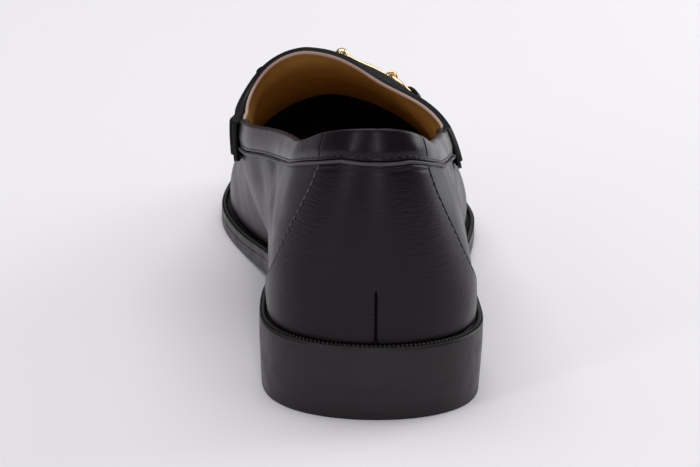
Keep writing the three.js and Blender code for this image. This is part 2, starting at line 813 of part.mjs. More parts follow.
// Where one ring sits: its wire hangs in the bar's eye and lies under the loop
function ringPlace(side) {
	const eye = strapPlace((side * barLength) / 2);
	const loop = strapPlace(side * (barLength / 2 + 2 * ringRadius));
	const eyeCentre = lifted(eye, eyeLift);
	const away = lifted(loop, ringOuterLift(side)).sub(eyeCentre).normalize();
	const centre = eyeCentre.clone().addScaledVector(away, ringRadius);
	const facing = eye.out.clone().add(loop.out);
	facing.addScaledVector(away, -facing.dot(away)).normalize();
	return { eyeCentre, away, centre, facing, along: facing.clone().cross(away) };
}

function bitRingGeometry(side) {
	const place = ringPlace(side);
	const ring = new THREE.TorusGeometry(ringRadius, ringWire / 2, 8, 24);
	return placed(ring, place.away, place.along, place.facing, place.centre);
}

// Half outline of one arm of the bar: shares of its thickness and of its length
const armOutline = [
	{ at: 0, radius: 0 },
	{ at: 0, radius: 0.3 },
	{ at: 0.4, radius: 0.36 },
	{ at: 0.62, radius: 0.5 },
	{ at: 0.84, radius: 0.36 },
	{ at: 1, radius: 0.3 },
	{ at: 1, radius: 0 },
];

// Two swelling arms from the bead to the eyes, all one casting
function bitBarSolid() {
	const middle = strapPlace(0);
	const beadCentre = lifted(middle, beadLift);
	const bead = new THREE.SphereGeometry(beadDiameter / 2, 12, 8);
	let bar = toSolid(bead.translate(beadCentre.x, beadCentre.y, beadCentre.z));
	for (const side of [-1, 1]) {
		const place = ringPlace(side);
		const eye = new THREE.TorusGeometry(eyeRadius, eyeWire / 2, 6, 12);
		const crosswise = place.along.clone().negate();
		bar = bar.add(toSolid(placed(eye, place.away, place.facing, crosswise, place.eyeCentre)));
		const reach = place.eyeCentre.clone().sub(beadCentre);
		const length = reach.length() - eyeRadius;
		const along = reach.normalize();
		const outline = armOutline.map((row) => new THREE.Vector2(row.radius * armWire, row.at * length));
		const second = along.clone().cross(middle.out).normalize();
		const first = along.clone().cross(second);
		bar = bar.add(toSolid(placed(new THREE.LatheGeometry(outline, 8), first, along, second, beadCentre)));
	}
	return bar;
}

// A leather bridge over the outer side of the ring. Both of its feet are trimmed to stand
// a gap above the strap.
function bitLoopSolid(side) {
	const place = ringPlace(side);
	const clear = ringWire / 2 + gap;
	const curve = ringRadius - Math.sqrt(ringRadius ** 2 - (loopWidth / 2) ** 2);
	const inside = -(clear + curve);
	const foot = -(clear + wallThickness + strapThickness);
	const corner = 0.4 * loopThickness;
	const bridge = outlinePoints([
		[inside - loopThickness, foot],
		[inside, foot],
		[inside, clear],
		[clear, clear],
		[clear, foot],
		[clear + loopThickness, foot],
		[clear + loopThickness, clear + corner],
		[clear, clear + loopThickness],
		[inside, clear + loopThickness],
		[inside - loopThickness, clear + corner],
	]);
	const shape = new THREE.Shape(bridge);
	const geometry = new THREE.ExtrudeGeometry(shape, { depth: loopWidth, bevelEnabled: false });
	geometry.translate(ringRadius, 0, -loopWidth / 2);
	const crosswise = place.along.clone().negate();
	const loop = toSolid(placed(geometry, place.away, place.facing, crosswise, place.centre));
	return loop.subtract(toSolid(wallGeometry(-2 * wallThickness, strapTop + gap)));
}

const leather = { color: 0x141416, roughness: 0.35, metalness: 0 };
const soleEdge = { color: 0x1c1a1c, roughness: 0.45, metalness: 0 };
const sockLining = { color: 0x9a6a2c, roughness: 0.7, metalness: 0 };
const goldPlate = { color: 0xd9b25a, roughness: 0.2, metalness: 1 };

const loafer = new THREE.Group();

function addPiece(name, geometry, finish) {
	const mesh = new THREE.Mesh(geometry, new THREE.MeshStandardMaterial(finish));
	mesh.name = name;
	loafer.add(mesh);
}

addPiece('outsole', outsoleGeometry(), soleEdge);
addPiece('heel', heelGeometry(), soleEdge);
addPiece('welt', weltGeometry(), soleEdge);
addPiece('insole', insoleGeometry(), sockLining);
addPiece('upper', wallGeometry(-wallThickness, 0), leather);
addPiece('counter', fromSolid(counterSolid()), leather);
addPiece('collar_band', fromSolid(collarBandSolid()), leather);
addPiece('collar_piping', fromSolid(collarPipingSolid()), leather);
addPiece('saddle_strap', fromSolid(saddleStrapSolid()), leather);
addPiece('apron_seam', fromSolid(apronSeamSolid()), leather);
addPiece('bit_bar', fromSolid(bitBarSolid()), goldPlate);
for (const [name, side] of [['medial', -1], ['lateral', 1]]) {
	addPiece(`bit_ring_${name}`, bitRingGeometry(side), goldPlate);
	addPiece(`bit_loop_${name}`, fromSolid(bitLoopSolid(side)), leather);
}

// The origin is the middle of the bottom of the whole shoe's box
const box = new THREE.Box3().setFromObject(loafer);
const middle = box.getCenter(new THREE.Vector3());
loafer.position.set(-middle.x, -middle.y, -box.min.z);

export default loafer;
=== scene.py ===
"""A right slip-on loafer with a saddle strap and a snaffle bit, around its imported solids."""

import math
from collections import namedtuple

import bmesh
import bpy
import numpy as np
from mathutils import Matrix, Vector, kdtree


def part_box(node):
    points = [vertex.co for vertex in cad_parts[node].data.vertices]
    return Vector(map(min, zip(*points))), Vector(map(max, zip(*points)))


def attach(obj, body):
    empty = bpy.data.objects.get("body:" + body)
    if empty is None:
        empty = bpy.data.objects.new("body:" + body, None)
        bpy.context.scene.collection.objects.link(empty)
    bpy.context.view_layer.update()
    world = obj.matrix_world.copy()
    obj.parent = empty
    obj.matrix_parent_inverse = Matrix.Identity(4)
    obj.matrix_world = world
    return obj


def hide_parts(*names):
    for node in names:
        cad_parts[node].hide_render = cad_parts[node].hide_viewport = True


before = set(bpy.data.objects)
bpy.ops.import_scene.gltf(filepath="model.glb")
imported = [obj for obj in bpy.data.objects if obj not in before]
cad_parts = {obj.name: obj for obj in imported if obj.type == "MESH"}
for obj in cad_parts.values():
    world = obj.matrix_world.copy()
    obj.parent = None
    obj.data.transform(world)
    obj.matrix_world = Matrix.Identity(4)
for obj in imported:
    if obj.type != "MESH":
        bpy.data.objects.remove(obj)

bl_info = {
    "name": "Snaffle loafer",
    "version": (1, 0, 0),
    "blender": (4, 5, 0),
    "location": "View3D > Sidebar > Loafer",
    "description": "Builds a slip-on leather loafer with a saddle strap and a snaffle bit",
    "category": "Add Mesh",
}

MM = 0.001
TURN = 2 * math.pi
BODY = "root"
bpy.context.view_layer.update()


def srgb(text):
    """Linear colour with alpha from an sRGB hex text"""
    channels = [int(text[i:i + 2], 16) / 255 for i in (1, 3, 5)]
    return [c / 12.92 if c <= 0.04045 else ((c + 0.055) / 1.055) ** 2.4 for c in channels] + [1.0]


def length(name, millimetres, description):
    """A size in metres, given in millimetres"""
    return bpy.props.FloatProperty(
        name=name, description=description, default=millimetres * MM,
        min=0, precision=5, unit="LENGTH",
    )


def colour(name, text, description):
    """A colour, given as an sRGB hex text"""
    return bpy.props.FloatVectorProperty(
        name=name, description=description, default=srgb(text),
        size=4, min=0, max=1, subtype="COLOR",
    )


class LoaferSizes(bpy.types.PropertyGroup):
    """Sizes of the last, the sole and the leather pieces"""

    sole_length: length("Sole length", 262, "Back of the heel to the tip of the toe")
    heel_seat_width: length("Heel seat width", 56.4, "Width of the last at the heel seat")
    ball_width: length("Ball width", 79.6, "Width of the last at the ball")
    welt_width: length("Welt width", 3.2, "How far the sole stands out from the upper")
    heel_height: length("Heel height", 21, "Floor to the top of the welt at the heel")
    heel_length: length("Heel length", 61, "Back of the heel to its breast")
    heel_taper: length("Heel taper", 0.7, "How far the heel draws in towards the floor")
    toe_spring: length("Toe spring", 8.2, "Height of the toe over the floor")
    outsole_thickness: length("Outsole thickness", 3.7, "Thickness of the outsole")
    welt_thickness: length("Welt thickness", 2.2, "Thickness of the welt")
    insole_thickness: length("Insole thickness", 4.6, "Thickness of the insole and its sock")
    back_height: length("Back height", 58.3, "Topline at the back, over the welt")
    quarter_height: length("Quarter height", 45.5, "Topline at the quarters, over the welt")
    instep_height: length("Instep height", 66.9, "Ridge of the instep, over the welt")
    toe_box_height: length("Toe box height", 35.9, "Ridge over the toes, over the welt")
    clearance: length("Clearance", 0.3, "Gap between pieces of the frame")
    wall: length("Wall", 2.0, "Thickness of the upper with its lining")
    counter_thickness: length("Counter thickness", 1.0, "How proud the heel counter lies")
    band_height: length("Collar band height", 7.2, "Topline to the lower seam of the collar band")
    band_thickness: length("Collar band thickness", 0.9, "How proud the collar band lies")
    piping_width: length("Piping width", 1.1, "Width of the strip under the collar band")
    piping_height: length("Piping height", 1.15, "How proud the strip lies")
    strap_thickness: length("Strap thickness", 1.7, "Two layers of leather")
    strap_drop: length("Strap drop", 13, "How far the strap hangs below the topline")
    strap_end_width: length("Strap end width", 24, "Width of the strap at its ends")
    strap_ridge_width: length("Strap ridge width", 26, "Width of the strap over the instep")
    seam_width: length("Apron seam width", 3, "Width of the raised seam of the vamp")
    seam_height: length("Apron seam height", 1.6, "Height of the raised seam of the vamp")
    ring_wire: length("Ring wire", 1.9, "Thickness of the bit's rings")
    ring_diameter: length("Ring diameter", 11.8, "Outer diameter of the bit's rings")
    eye_wire: length("Eye wire", 1.1, "Thickness of the eyes of the bar")
    arm_wire: length("Arm thickness", 1.9, "Greatest thickness of the arms of the bar")
    bead_diameter: length("Bead diameter", 4, "Diameter of the bead in the middle")
    loop_width: length("Loop width", 5.5, "Width of the leather loops of the bit")
    loop_thickness: length("Loop thickness", 1.1, "Thickness of the leather loops")
    rib_pitch: length("Welt rib pitch", 1.2, "Distance between the ribs of the welt")
    stitch_pitch: length("Stitch pitch", 2.3, "Distance between stitches")


class LoaferFinish(bpy.types.PropertyGroup):
    """Colours of the leathers, the thread and the metal"""

    calf: colour("Calf", "#190f17", "Black polished calf")
    strap: colour("Strap", "#070406", "Black polished calf of the strap")
    edge: colour("Sole edge", "#20181d", "Black painted edge of the sole and the heel")
    lining: colour("Lining", "#bd934e", "Tan lining leather")
    raw_edge: colour("Raw edge", "#b79a90", "Cut edge of the lining")
    toe_lining: colour("Toe lining", "#24140e", "Black textile lining of the toe")
    thread: colour("Thread", "#060606", "Waxed black thread")
    # A thread lighter than the black thread: a painted highlight for the inner counter stitches that
    # catch the light
    painted_highlight_thread: colour("Seam thread", "#4d4850", "Thread that catches the light on the seams")
    # Piping: a grey far lighter than the calf, a painted highlight on the black strip under the collar
    piping: colour("Piping", "#504a54", "Strip under the collar, painted lighter grey as a highlight")
    metal: colour("Metal", "#f0d2a8", "Pale gold plate")
    floor: colour("Floor", "#f6f4f7", "Pale studio floor")


def table(columns, *rows):
    """A short table with named columns"""
    row_type = namedtuple("Row", columns)
    return [row_type(*row) for row in rows]


# Named sizes that the tables below give shares of
SEAT, BALL = "heel_seat_width", "ball_width"
HEEL, TOE = "heel_rise", "toe_spring"
INSTEP, TOE_BOX = "instep_height", "toe_box_height"
BACK, QUARTER = "back_height", "quarter_height"

# Half widths of the feather line, along the last, as shares of a named width
FEATHER = table(
    "at medial lateral of",
    (0.03, 0.369, 0.369, SEAT), (0.08, 0.486, 0.486, SEAT), (0.14, 0.5, 0.5, SEAT),
    (0.22, 0.482, 0.496, SEAT), (0.32, 0.434, 0.479, SEAT), (0.42, 0.436, 0.505, SEAT),
    (0.52, 0.371, 0.402, BALL), (0.62, 0.459, 0.452, BALL), (0.7, 0.515, 0.475, BALL),
    (0.76, 0.528, 0.46, BALL), (0.83, 0.502, 0.417, BALL), (0.9, 0.436, 0.332, BALL),
    (0.96, 0.313, 0.206, BALL),
)
TOE_TIP_SHIFT = -0.055

# Underside of the outsole over the floor, along the sole
UNDERSIDE = table(
    "at rise of",
    (0, 1, HEEL), (0.127, 0.98, HEEL), (0.234, 0.865, HEEL), (0.337, 0.56, HEEL),
    (0.451, 0.3, HEEL), (0.547, 0.085, HEEL), (0.63, -0.01, HEEL), (0.725, -0.02, TOE),
    (0.814, 0.146, TOE), (0.909, 0.49, TOE), (1, 1, TOE),
)

# Ridge of the last: height over the welt, and sideways shift as a share of the ball width
RIDGE = table(
    "at rise of shift",
    (0.078, 1.079, INSTEP, -0.019), (0.196, 1.037, INSTEP, -0.038), (0.313, 1.055, INSTEP, -0.088),
    (0.411, 1.04, INSTEP, -0.163), (0.5, 0.965, INSTEP, -0.226), (0.567, 0.879, INSTEP, -0.18),
    (0.646, 0.765, INSTEP, -0.12), (0.724, 1.22, TOE_BOX, -0.1), (0.802, 1, TOE_BOX, -0.1),
    (0.861, 0.844, TOE_BOX, -0.075),
)
RIDGE_START = 0.11
RIDGE_END = 0.837

# Swell of the ribs just above the feather line, and their width just below the ridge
SWELL = table(
    "at medial lateral of",
    (0, 0.035, 0.035, SEAT), (0.03, 0.053, 0.044, SEAT), (0.08, 0.08, 0.062, SEAT),
    (0.14, 0.098, 0.071, SEAT), (0.22, 0.142, 0.089, SEAT), (0.32, 0.163, 0.069, BALL),
    (0.42, 0.214, 0.082, BALL), (0.5, 0.176, 0.088, BALL), (0.6, 0.1, 0.063, BALL),
    (0.7, 0.05, 0.044, BALL), (0.8, 0.038, 0.031, BALL), (0.9, 0.031, 0.031, BALL),
    (1, 0.031, 0.031, BALL),
)
SHOULDER = table(
    "at medial lateral of",
    (0, 0.603, 0.603, SEAT), (0.03, 0.426, 0.355, SEAT), (0.08, 0.355, 0.23, SEAT),
    (0.14, 0.328, 0.239, SEAT), (0.22, 0.363, 0.337, SEAT), (0.32, 0.314, 0.352, BALL),
    (0.42, 0.352, 0.459, BALL), (0.5, 0.352, 0.465, BALL), (0.6, 0.352, 0.452, BALL),
    (0.7, 0.364, 0.427, BALL), (0.8, 0.364, 0.389, BALL), (0.9, 0.364, 0.371, BALL),
    (1, 0.377, 0.377, BALL),
)
HEEL_LIFT = 0.36
TOE_LIFT = 0.42
TOE_LIFT_FROM = 0.55
TOE_LIFT_TO = 1.0
SIDE_SOFTNESS = 0.1
GAPE = 2.1 * MM

# Topline of the collar over the welt
TOPLINE = table(
    "at medial lateral of",
    (0.016, 1, 1, BACK), (0.039, 0.966, 0.95, BACK), (0.063, 0.926, 0.9, BACK),
    (0.102, 0.852, 0.843, BACK), (0.149, 0.808, 0.805, BACK), (0.203, 1.008, 0.985, QUARTER),
    (0.305, 0.996, 0.96, QUARTER), (0.391, 0.98, 0.937, QUARTER), (0.423, 0.98, 0.94, QUARTER),
)
# Lower seam of the collar band, in millimetres below an even band
SEAM_DROP = table(
    "at medial lateral",
    (0.0, 0.6, 0.6), (0.03, 0.4, 0.3), (0.055, -0.4, -0.5), (0.085, -1.4, -1.5), (0.13, -1.5, -1.5),
    (0.18, -1.0, -0.9), (0.25, -0.7, -0.3), (0.33, -0.7, 0.5), (0.4, -0.7, 1.2),
)
THROAT_START = 0.405
THROAT_END = 0.548
THROAT_BEND = 1.6

# The throat's edge curls up, and sags on the outer side, where the bit pulls on it
CURL = 1.0 * MM
SAG = 3.2 * MM
SAG_CROSS, SAG_SPREAD = -0.27, 0.15
CURL_REACH = 9 * MM

# Creases across the ball, where the foot bends, with their depth in millimetres
BALL_CREASES = table(
    "at lean depth spread",
    (0.605, 0.03, -0.28, 0.012), (0.635, 0.02, 0.2, 0.013),
    (0.665, -0.02, -0.22, 0.014), (0.7, 0.0, 0.1, 0.017),
)
# Folds of the inner quarter, where it was drawn in under the collar
QUARTER_FOLDS = table(
    "at high lean depth spread",
    (0.2, 0.5, 0.35, -0.35, 0.02), (0.245, 0.52, 0.3, 0.25, 0.018),
    (0.285, 0.46, 0.25, -0.3, 0.02), (0.33, 0.4, 0.2, 0.2, 0.02),
)
FOLD_HEIGHT = 0.2

# Front edge of the counter: share of the heel length, at each share of the back height
COUNTER_FRONT = table(
    "rise front",
    (-0.1, 0.9), (0.09, 0.56), (0.27, 0.33), (0.41, 0.26), (0.56, 0.21), (0.7, 0.17), (1, 0.16),
)

# Apron seam, side seam and toe lining: where they lie, as shares of the climb and the length
SEAM_CLIMB = 0.62
SEAM_TOE_CLIMB = 0.7
SIDE_SEAM_AT = 0.36
TOE_LINING_AT = 0.763


def spline(xs, ys):
    """Natural cubic spline through points, for arrays"""
    xs, ys = np.array(xs, float), np.array(ys, float)
    count = len(xs)
    gaps = np.diff(xs)
    matrix = np.eye(count)
    turns = np.zeros(count)
    for i in range(1, count - 1):
        matrix[i, i - 1:i + 2] = gaps[i - 1], 2 * (gaps[i - 1] + gaps[i]), gaps[i]
        turns[i] = 6 * ((ys[i + 1] - ys[i]) / gaps[i] - (ys[i] - ys[i - 1]) / gaps[i - 1])
    bend = np.linalg.solve(matrix, turns)

    def value(x):
        i = np.clip(np.searchsorted(xs, x) - 1, 0, count - 2)
        step = gaps[i]
        left = (xs[i + 1] - x) / step
        right = (x - xs[i]) / step
        curve = (left ** 3 - left) * bend[i] + (right ** 3 - right) * bend[i + 1]
        return left * ys[i] + right * ys[i + 1] + curve * step ** 2 / 6

    return value


def smoothstep(x, low, high):
    share = np.clip((x - low) / (high - low), 0, 1)
    return share * share * (3 - 2 * share)


def hump(x, spread):
    """A soft hump, 1 high at 0"""
    return np.exp(-(x / spread) ** 2)


def bisect(test, low, high, steps=32):
    """Where test, an array of true and false, turns false between low and high"""
    low, high = low.copy(), high.copy()
    for _ in range(steps):
        middle = (low + high) / 2
        keep = test(middle)
        low = np.where(keep, middle, low)
        high = np.where(keep, high, middle)
    return (low + high) / 2


def unit(vectors):
    return vectors / np.linalg.norm(vectors, axis=-1, keepdims=True)


def full_lap(count):
    return np.linspace(0, TURN, count, endpoint=False)


def turn_at(share):
    """Turn of the outer side at a share of the length"""
    return np.arccos(np.clip(1 - 2 * np.asarray(share, float), -1, 1))


class Last:
    """The form that the upper is pulled over. A place on it is a turn round the feather line,
    from the heel over the outer side, and a climb from the feather line to the ridge."""

    def __init__(self, sizes):
        self.sizes = sizes
        self.length = sizes.sole_length - 2 * sizes.welt_width
        self.stack = sizes.outsole_thickness + sizes.clearance + sizes.welt_thickness
        self.heel_rise = sizes.heel_height - self.stack
        self.half = self.feather_spline()
        self.under = self.column(UNDERSIDE, "rise")
        self.ridge_rise = self.column(RIDGE, "rise")
        shifts = [r.shift * sizes.ball_width for r in RIDGE]
        self.ridge_shift = spline([r.at for r in RIDGE], shifts)
        self.swell = [self.column(SWELL, side) for side in ("medial", "lateral")]
        self.shoulder = [self.column(SHOULDER, side) for side in ("medial", "lateral")]
        self.seam_drop = [
            spline([r.at for r in SEAM_DROP], [getattr(r, side) * MM for r in SEAM_DROP])
            for side in ("medial", "lateral")
        ]
        self.topline = [self.column(TOPLINE, side) for side in ("medial", "lateral")]
        outline = self.feather(np.linspace(0, TURN, 721), sizes.welt_width)
        low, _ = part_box("outsole")
        self.move = np.array([low.x - outline[:, 0].min(), low.y - outline[:, 1].min(), 0])
        self.toe_lining_from = TOE_LINING_AT * self.length + self.move[1]

    def size(self, name):
        return self.heel_rise if name == "heel_rise" else getattr(self.sizes, name)

    def column(self, rows, name):
        return spline([r.at for r in rows], [getattr(r, name) * self.size(r.of) for r in rows])

    def feather_spline(self):
        outer = [(float(turn_at(r.at)), r.lateral * self.size(r.of)) for r in FEATHER]
        inner = [(TURN - float(turn_at(r.at)), -r.medial * self.size(r.of)) for r in FEATHER]
        toe = (math.pi, TOE_TIP_SHIFT * self.sizes.ball_width)
        knots = [(0, 0), *outer, toe, *inner[::-1]]
        wrap = 4
        before = [(turn - TURN, half) for turn, half in knots[-wrap:]]
        after = [(turn + TURN, half) for turn, half in knots[:wrap]]
        return spline(*zip(*before, *knots, *after))

    def along(self, turn):
        return self.length * (1 - np.cos(turn)) / 2

    def feather(self, turn, offset=0.0):
        """Feather line in plan, moved outwards by an offset"""
        turn = np.mod(turn, TURN)
        step = 0.001

        def line(t):
            return np.stack([self.half(t), self.along(t)], -1)

        way = unit(line(turn + step) - line(turn - step))
        out = np.stack([way[..., 1], -way[..., 0]], -1)
        return line(turn) + out * np.asarray(offset)[..., None]

    def level_ring(self, turn, offset, height):
        """A line of the sole, at a height that follows from Y"""
        plan = self.feather(turn, offset)
        return np.column_stack([plan, height(plan[:, 1])]) + self.move

    def underside(self, y):
        return np.maximum(0, self.under((y + self.sizes.welt_width) / self.sizes.sole_length))

    def outsole_top(self, y):
        return self.underside(y) + self.sizes.outsole_thickness

    def welt_top(self, y):
        return self.underside(y) + self.stack

    def ridge_top(self, y):
        return self.welt_top(y) + self.ridge_rise(y / self.length)

    def sides(self, pair, turn, share):
        across = np.sin(turn)
        outer = 0.5 * (1 + across / np.sqrt(across * across + SIDE_SOFTNESS))
        return outer * pair[1](share) + (1 - outer) * pair[0](share)

    def raw(self, turn, climb):
        """Point of the last in its own frame, with the back of the heel at Y = 0"""
        turn, climb = np.broadcast_arrays(np.asarray(turn, float), np.asarray(climb, float))
        foot = self.feather(turn)
        share = np.clip(foot[..., 1] / self.length, 0, 1)
        ridge_y = self.length * (RIDGE_START + (RIDGE_END - RIDGE_START) * share)
        ridge = np.stack([self.ridge_shift(ridge_y / self.length), ridge_y], -1)
        reach = np.linalg.norm(foot - ridge, axis=-1)
        across = (foot - ridge) / reach[..., None]
        out = self.sides(self.swell, turn, share)
        wide = self.sides(self.shoulder, turn, share)
        lift = HEEL_LIFT + (TOE_LIFT - HEEL_LIFT) * smoothstep(share, TOE_LIFT_FROM, TOE_LIFT_TO)
        left = 1 - climb
        low = 3 * left * left * climb
        high = 3 * left * climb * climb
        radius = reach * left ** 3 + (reach + out) * low + wide * high
        square = across[..., 0] ** 4
        y = ridge_y + across[..., 1] * radius * (1 - square + square * radius / reach)
        half_step = 0.5 * MM
        rise = self.ridge_top(ridge_y + half_step) - self.ridge_top(ridge_y - half_step)
        slope = rise / (2 * half_step)
        top = self.ridge_top(ridge_y) + slope * (y - ridge_y)
        base = self.welt_top(foot[..., 1]) + self.sizes.clearance
        z = base + (top - base) * (lift * low + high + climb ** 3)
        x = ridge[..., 0] + across[..., 0] * radius - self.gape(turn, y, z)
        return np.stack([x, y, z], -1)

    def gape(self, turn, y, z):
        """How far the inner quarter stands out where the strap pulls on it"""
        share, height = y / self.length, z - self.welt_top(y)
        along = smoothstep(share, 0.2, 0.36) * (1 - smoothstep(share, 0.41, 0.455))
        up = smoothstep(height, 4 * MM, 40 * MM) * (1 - smoothstep(height, 46 * MM, 56 * MM))
        return GAPE * along * up * (np.mod(turn, TURN) > math.pi)

    def normal(self, turn, climb):
        """Outward normal"""
        step = 0.002
        turn, climb = np.broadcast_arrays(np.asarray(turn, float), np.asarray(climb, float))
        climb = np.minimum(climb, 1 - step)
        around = self.raw(turn + step, climb) - self.raw(turn - step, climb)
        up = self.raw(turn, climb + step) - self.raw(turn, climb - step)
        return unit(np.cross(around, up))

    def point(self, turn, climb, lift=0.0):
        """Point of the shoe at a lift over the last"""
        lift = np.asarray(lift, float)
        return self.raw(turn, climb) + self.normal(turn, climb) * lift[..., None] + self.move

    def path(self, turn, climb, lift=0.0):
        """A line at a lift over the last, and its outward normals"""
        return self.point(turn, climb, lift), self.normal(turn, climb)

    def over(self, turn, cross, lift=0.0):
        """Point at a turn of the outer side and a place across the shoe: from -1 at the outer
        feather line over 0 at the ridge to 1 at the inner feather line"""
        turn, cross, lift = np.broadcast_arrays(turn, cross, lift)

        def place(t, c):
            return self.raw(np.where(c <= 0, t, TURN - t), 1 - np.abs(c))

        step = 0.002
        forward = place(turn + step, cross) - place(turn - step, cross)
        across = place(turn, cross + step) - place(turn, cross - step)
        out = unit(np.cross(forward, across))
        return place(turn, cross) + out * lift[..., None] + self.move, out

    def topline_height(self, turn, y):
        share = np.clip(y / self.length, TOPLINE[0].at, THROAT_START)
        return self.welt_top(y) + self.sides(self.topline, turn, share)

    def climb_to(self, turn, height):
        """Climb at which a rib reaches height(turn, y)"""
        turn = np.asarray(turn, float)

        def below(climb):
            place = self.raw(turn, climb)
            return place[..., 2] < height(turn, place[..., 1])

        return bisect(below, np.zeros_like(turn), np.ones_like(turn))

    def opening(self, turn):
        """Climb at which a rib meets the collar or the throat"""
        turn = np.asarray(turn, float)
        low = self.climb_to(turn, self.topline_height)
        share = self.along(turn) / self.length
        throat = np.clip((share - THROAT_START) / (THROAT_END - THROAT_START), 0, 1)
        climb = low + (1 - low) * (1 - np.sqrt(1 - throat ** THROAT_BEND))
        return np.where(share >= THROAT_END - 1e-9, 1.0, climb)

    def band_lower(self, turn, y):
        """Height of the seam under the collar band"""
        share = np.clip(y / self.length, TOPLINE[0].at, THROAT_START)
        middle = (self.topline[0](share) + self.topline[1](share)) / 2
        drop = self.sizes.band_height + self.sides(self.seam_drop, turn, share)
        return self.welt_top(np.maximum(0, y)) + middle - drop


def grid_faces(rows, columns, start=0, wrap_rows=False, wrap_columns=False):
    """Faces of a grid of points, counted row by row"""
    faces = []
    for i in range(rows if wrap_rows else rows - 1):
        for j in range(columns if wrap_columns else columns - 1):
            a = start + i * columns + j
            b = start + i * columns + (j + 1) % columns
            c = start + ((i + 1) % rows) * columns + (j + 1) % columns
            d = start + ((i + 1) % rows) * columns + j
            faces.append((a, b, c, d))
    return faces


def both_skins(faces, shift):
    """The faces of a wall's outer skin, and those of its inner skin"""
    return faces + [tuple(corner + shift for corner in face) for face in faces]


def add_piece(name, points, faces, material, slot, nodes=(), merge=0.0, attributes=None):
    """Makes a closed smooth mesh, puts it in the scene on the shoe in place of its frame pieces, and
    returns it
    """
    mesh = bpy.data.meshes.new(name)
    mesh.from_pydata([tuple(p) for p in points], [], faces)
    for key, values in (attributes or {}).items():
        made = mesh.attributes.new(key, "FLOAT", "POINT")
        made.data.foreach_set("value", np.asarray(values, np.float32))
    work = bmesh.new()
    work.from_mesh(mesh)
    if merge:
        bmesh.ops.remove_doubles(work, verts=work.verts, dist=merge)
    bmesh.ops.recalc_face_normals(work, faces=work.faces)
    work.to_mesh(mesh)
    work.free()
    mesh.polygons.foreach_set("use_smooth", [True] * len(mesh.polygons))
    mesh.materials.append(material)
    return keep(name, mesh, slot, nodes)


def keep(name, mesh, slot, nodes=()):
    """Puts a finished mesh in the scene, riding on the shoe"""
    piece = bpy.data.objects.new(name, mesh)
    bpy.context.scene.collection.objects.link(piece)
    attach(piece, BODY)
    if nodes:
        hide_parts(*nodes)
    return piece


def loft(name, rings, material, slot, nodes=(), closed=False):
    """A body through closed sections, capped at both ends unless it runs round"""
    rings = np.asarray(rings)
    count, size = rings.shape[:2]
    faces = grid_faces(count, size, wrap_rows=closed, wrap_columns=True)
    if not closed:
        faces.append(tuple(range(size)))
        faces.append(tuple((count - 1) * size + i for i in range(size)))
    return add_piece(name, rings.reshape(-1, 3), faces, material, slot, nodes)


def half_round(name, last, turns, climbs, size, material, steps, power=1.0):
    """A strip on the last, with a width, a height and a depth below the surface; returns the
    middle line of its foot and the outward normals"""
    width, height, below = size
    centre, out = last.path(turns, climbs)
    up = unit(np.cross(out, unit(np.gradient(centre, axis=0))))
    rings = []
    for angle in np.linspace(0, math.pi, steps):
        rings.append(
            centre + up * (width / 2 * math.cos(angle)) + out * (height * math.sin(angle) ** power)
        )
    rings.append(centre - out * below)
    loft(name, np.stack(rings, 1), material, "leather", [name])
    return centre, out


def slab(name, rings, material, slot, nodes=()):
    """A flat body from rings that start at the heel, with strips straight across for its faces"""
    rings = np.asarray(rings)
    count, size = rings.shape[:2]
    faces = grid_faces(count, size, wrap_columns=True)
    for start in (0, (count - 1) * size):
        for j in range((size + 1) // 2):
            strip = [j, j + 1, size - j - 1, (size - j) % size]
            corners = list(dict.fromkeys(strip))
            if len(corners) > 2 and strip[1] <= strip[2]:
                faces.append(tuple(start + k for k in corners))
    return add_piece(name, rings.reshape(-1, 3), faces, material, slot, nodes)


def plug(tree, sockets, values):
    """Sets or links the inputs of a node"""
    for key, value in values.items():
        if isinstance(value, bpy.types.NodeSocket):
            tree.links.new(value, sockets[key])
        else:
            sockets[key].default_value = value


def add(tree, kind, inputs=None, **settings):
    """Adds a node, with its settings and its inputs"""
    made = tree.nodes.new(kind)
    for key, value in settings.items():
        setattr(made, key, value)
    plug(tree, made.inputs, inputs or {})
    return made


def noise(tree, place, millimetres, detail):
    """Noise whose features have a real size"""
    inputs = {"Vector": place, "Scale": 1 / (millimetres * MM), "Detail": detail}
    return add(tree, "ShaderNodeTexNoise", inputs).outputs["Fac"]


def stretched(tree, place, scale, rotation=(0.0, 0.0, 0.0)):
    inputs = {"Vector": place, "Rotation": rotation, "Scale": scale}
    return add(tree, "ShaderNodeMapping", inputs).outputs[0]


def spread(tree, value, low, high):
    """The usual range of a noise, spread from low to high"""
    inputs = {"Value": value, "From Min": 0.3, "From Max": 0.7, "To Min": low, "To Max": high}
    return add(tree, "ShaderNodeMapRange", inputs).outputs[0]


def mixed(tree, share, first, second):
    inputs = {"Fac": share, "Color1": first, "Color2": second}
    return add(tree, "ShaderNodeMixRGB", inputs).outputs[0]


def test(tree, value, limit, operation):
    return add(tree, "ShaderNodeMath", {0: value, 1: limit}, operation=operation).outputs[0]


def bump(tree, height, strength, millimetres, **below):
    inputs = {"Height": height, "Strength": strength, "Distance": millimetres * MM, **below}
    return add(tree, "ShaderNodeBump", inputs).outputs[0]


def toned(tint, share):
    """A darker or lighter colour"""
    return [min(1, c * share) for c in tint[:3]] + [1]


def material_of(name, make, *arguments, **settings):
    """The material of that name, made when it is first asked for"""
    material = bpy.data.materials.get(name)
    if material is None:
        material = bpy.data.materials.new(name)
        material.use_nodes = True
        tree = material.node_tree
        tree.nodes.clear()
        shader = add(tree, "ShaderNodeBsdfPrincipled")
        add(tree, "ShaderNodeOutputMaterial", {"Surface": shader.outputs["BSDF"]})
        place = add(tree, "ShaderNodeTexCoord").outputs["Object"]
        plug(tree, shader.inputs, make(tree, place, *arguments, **settings))
    return material


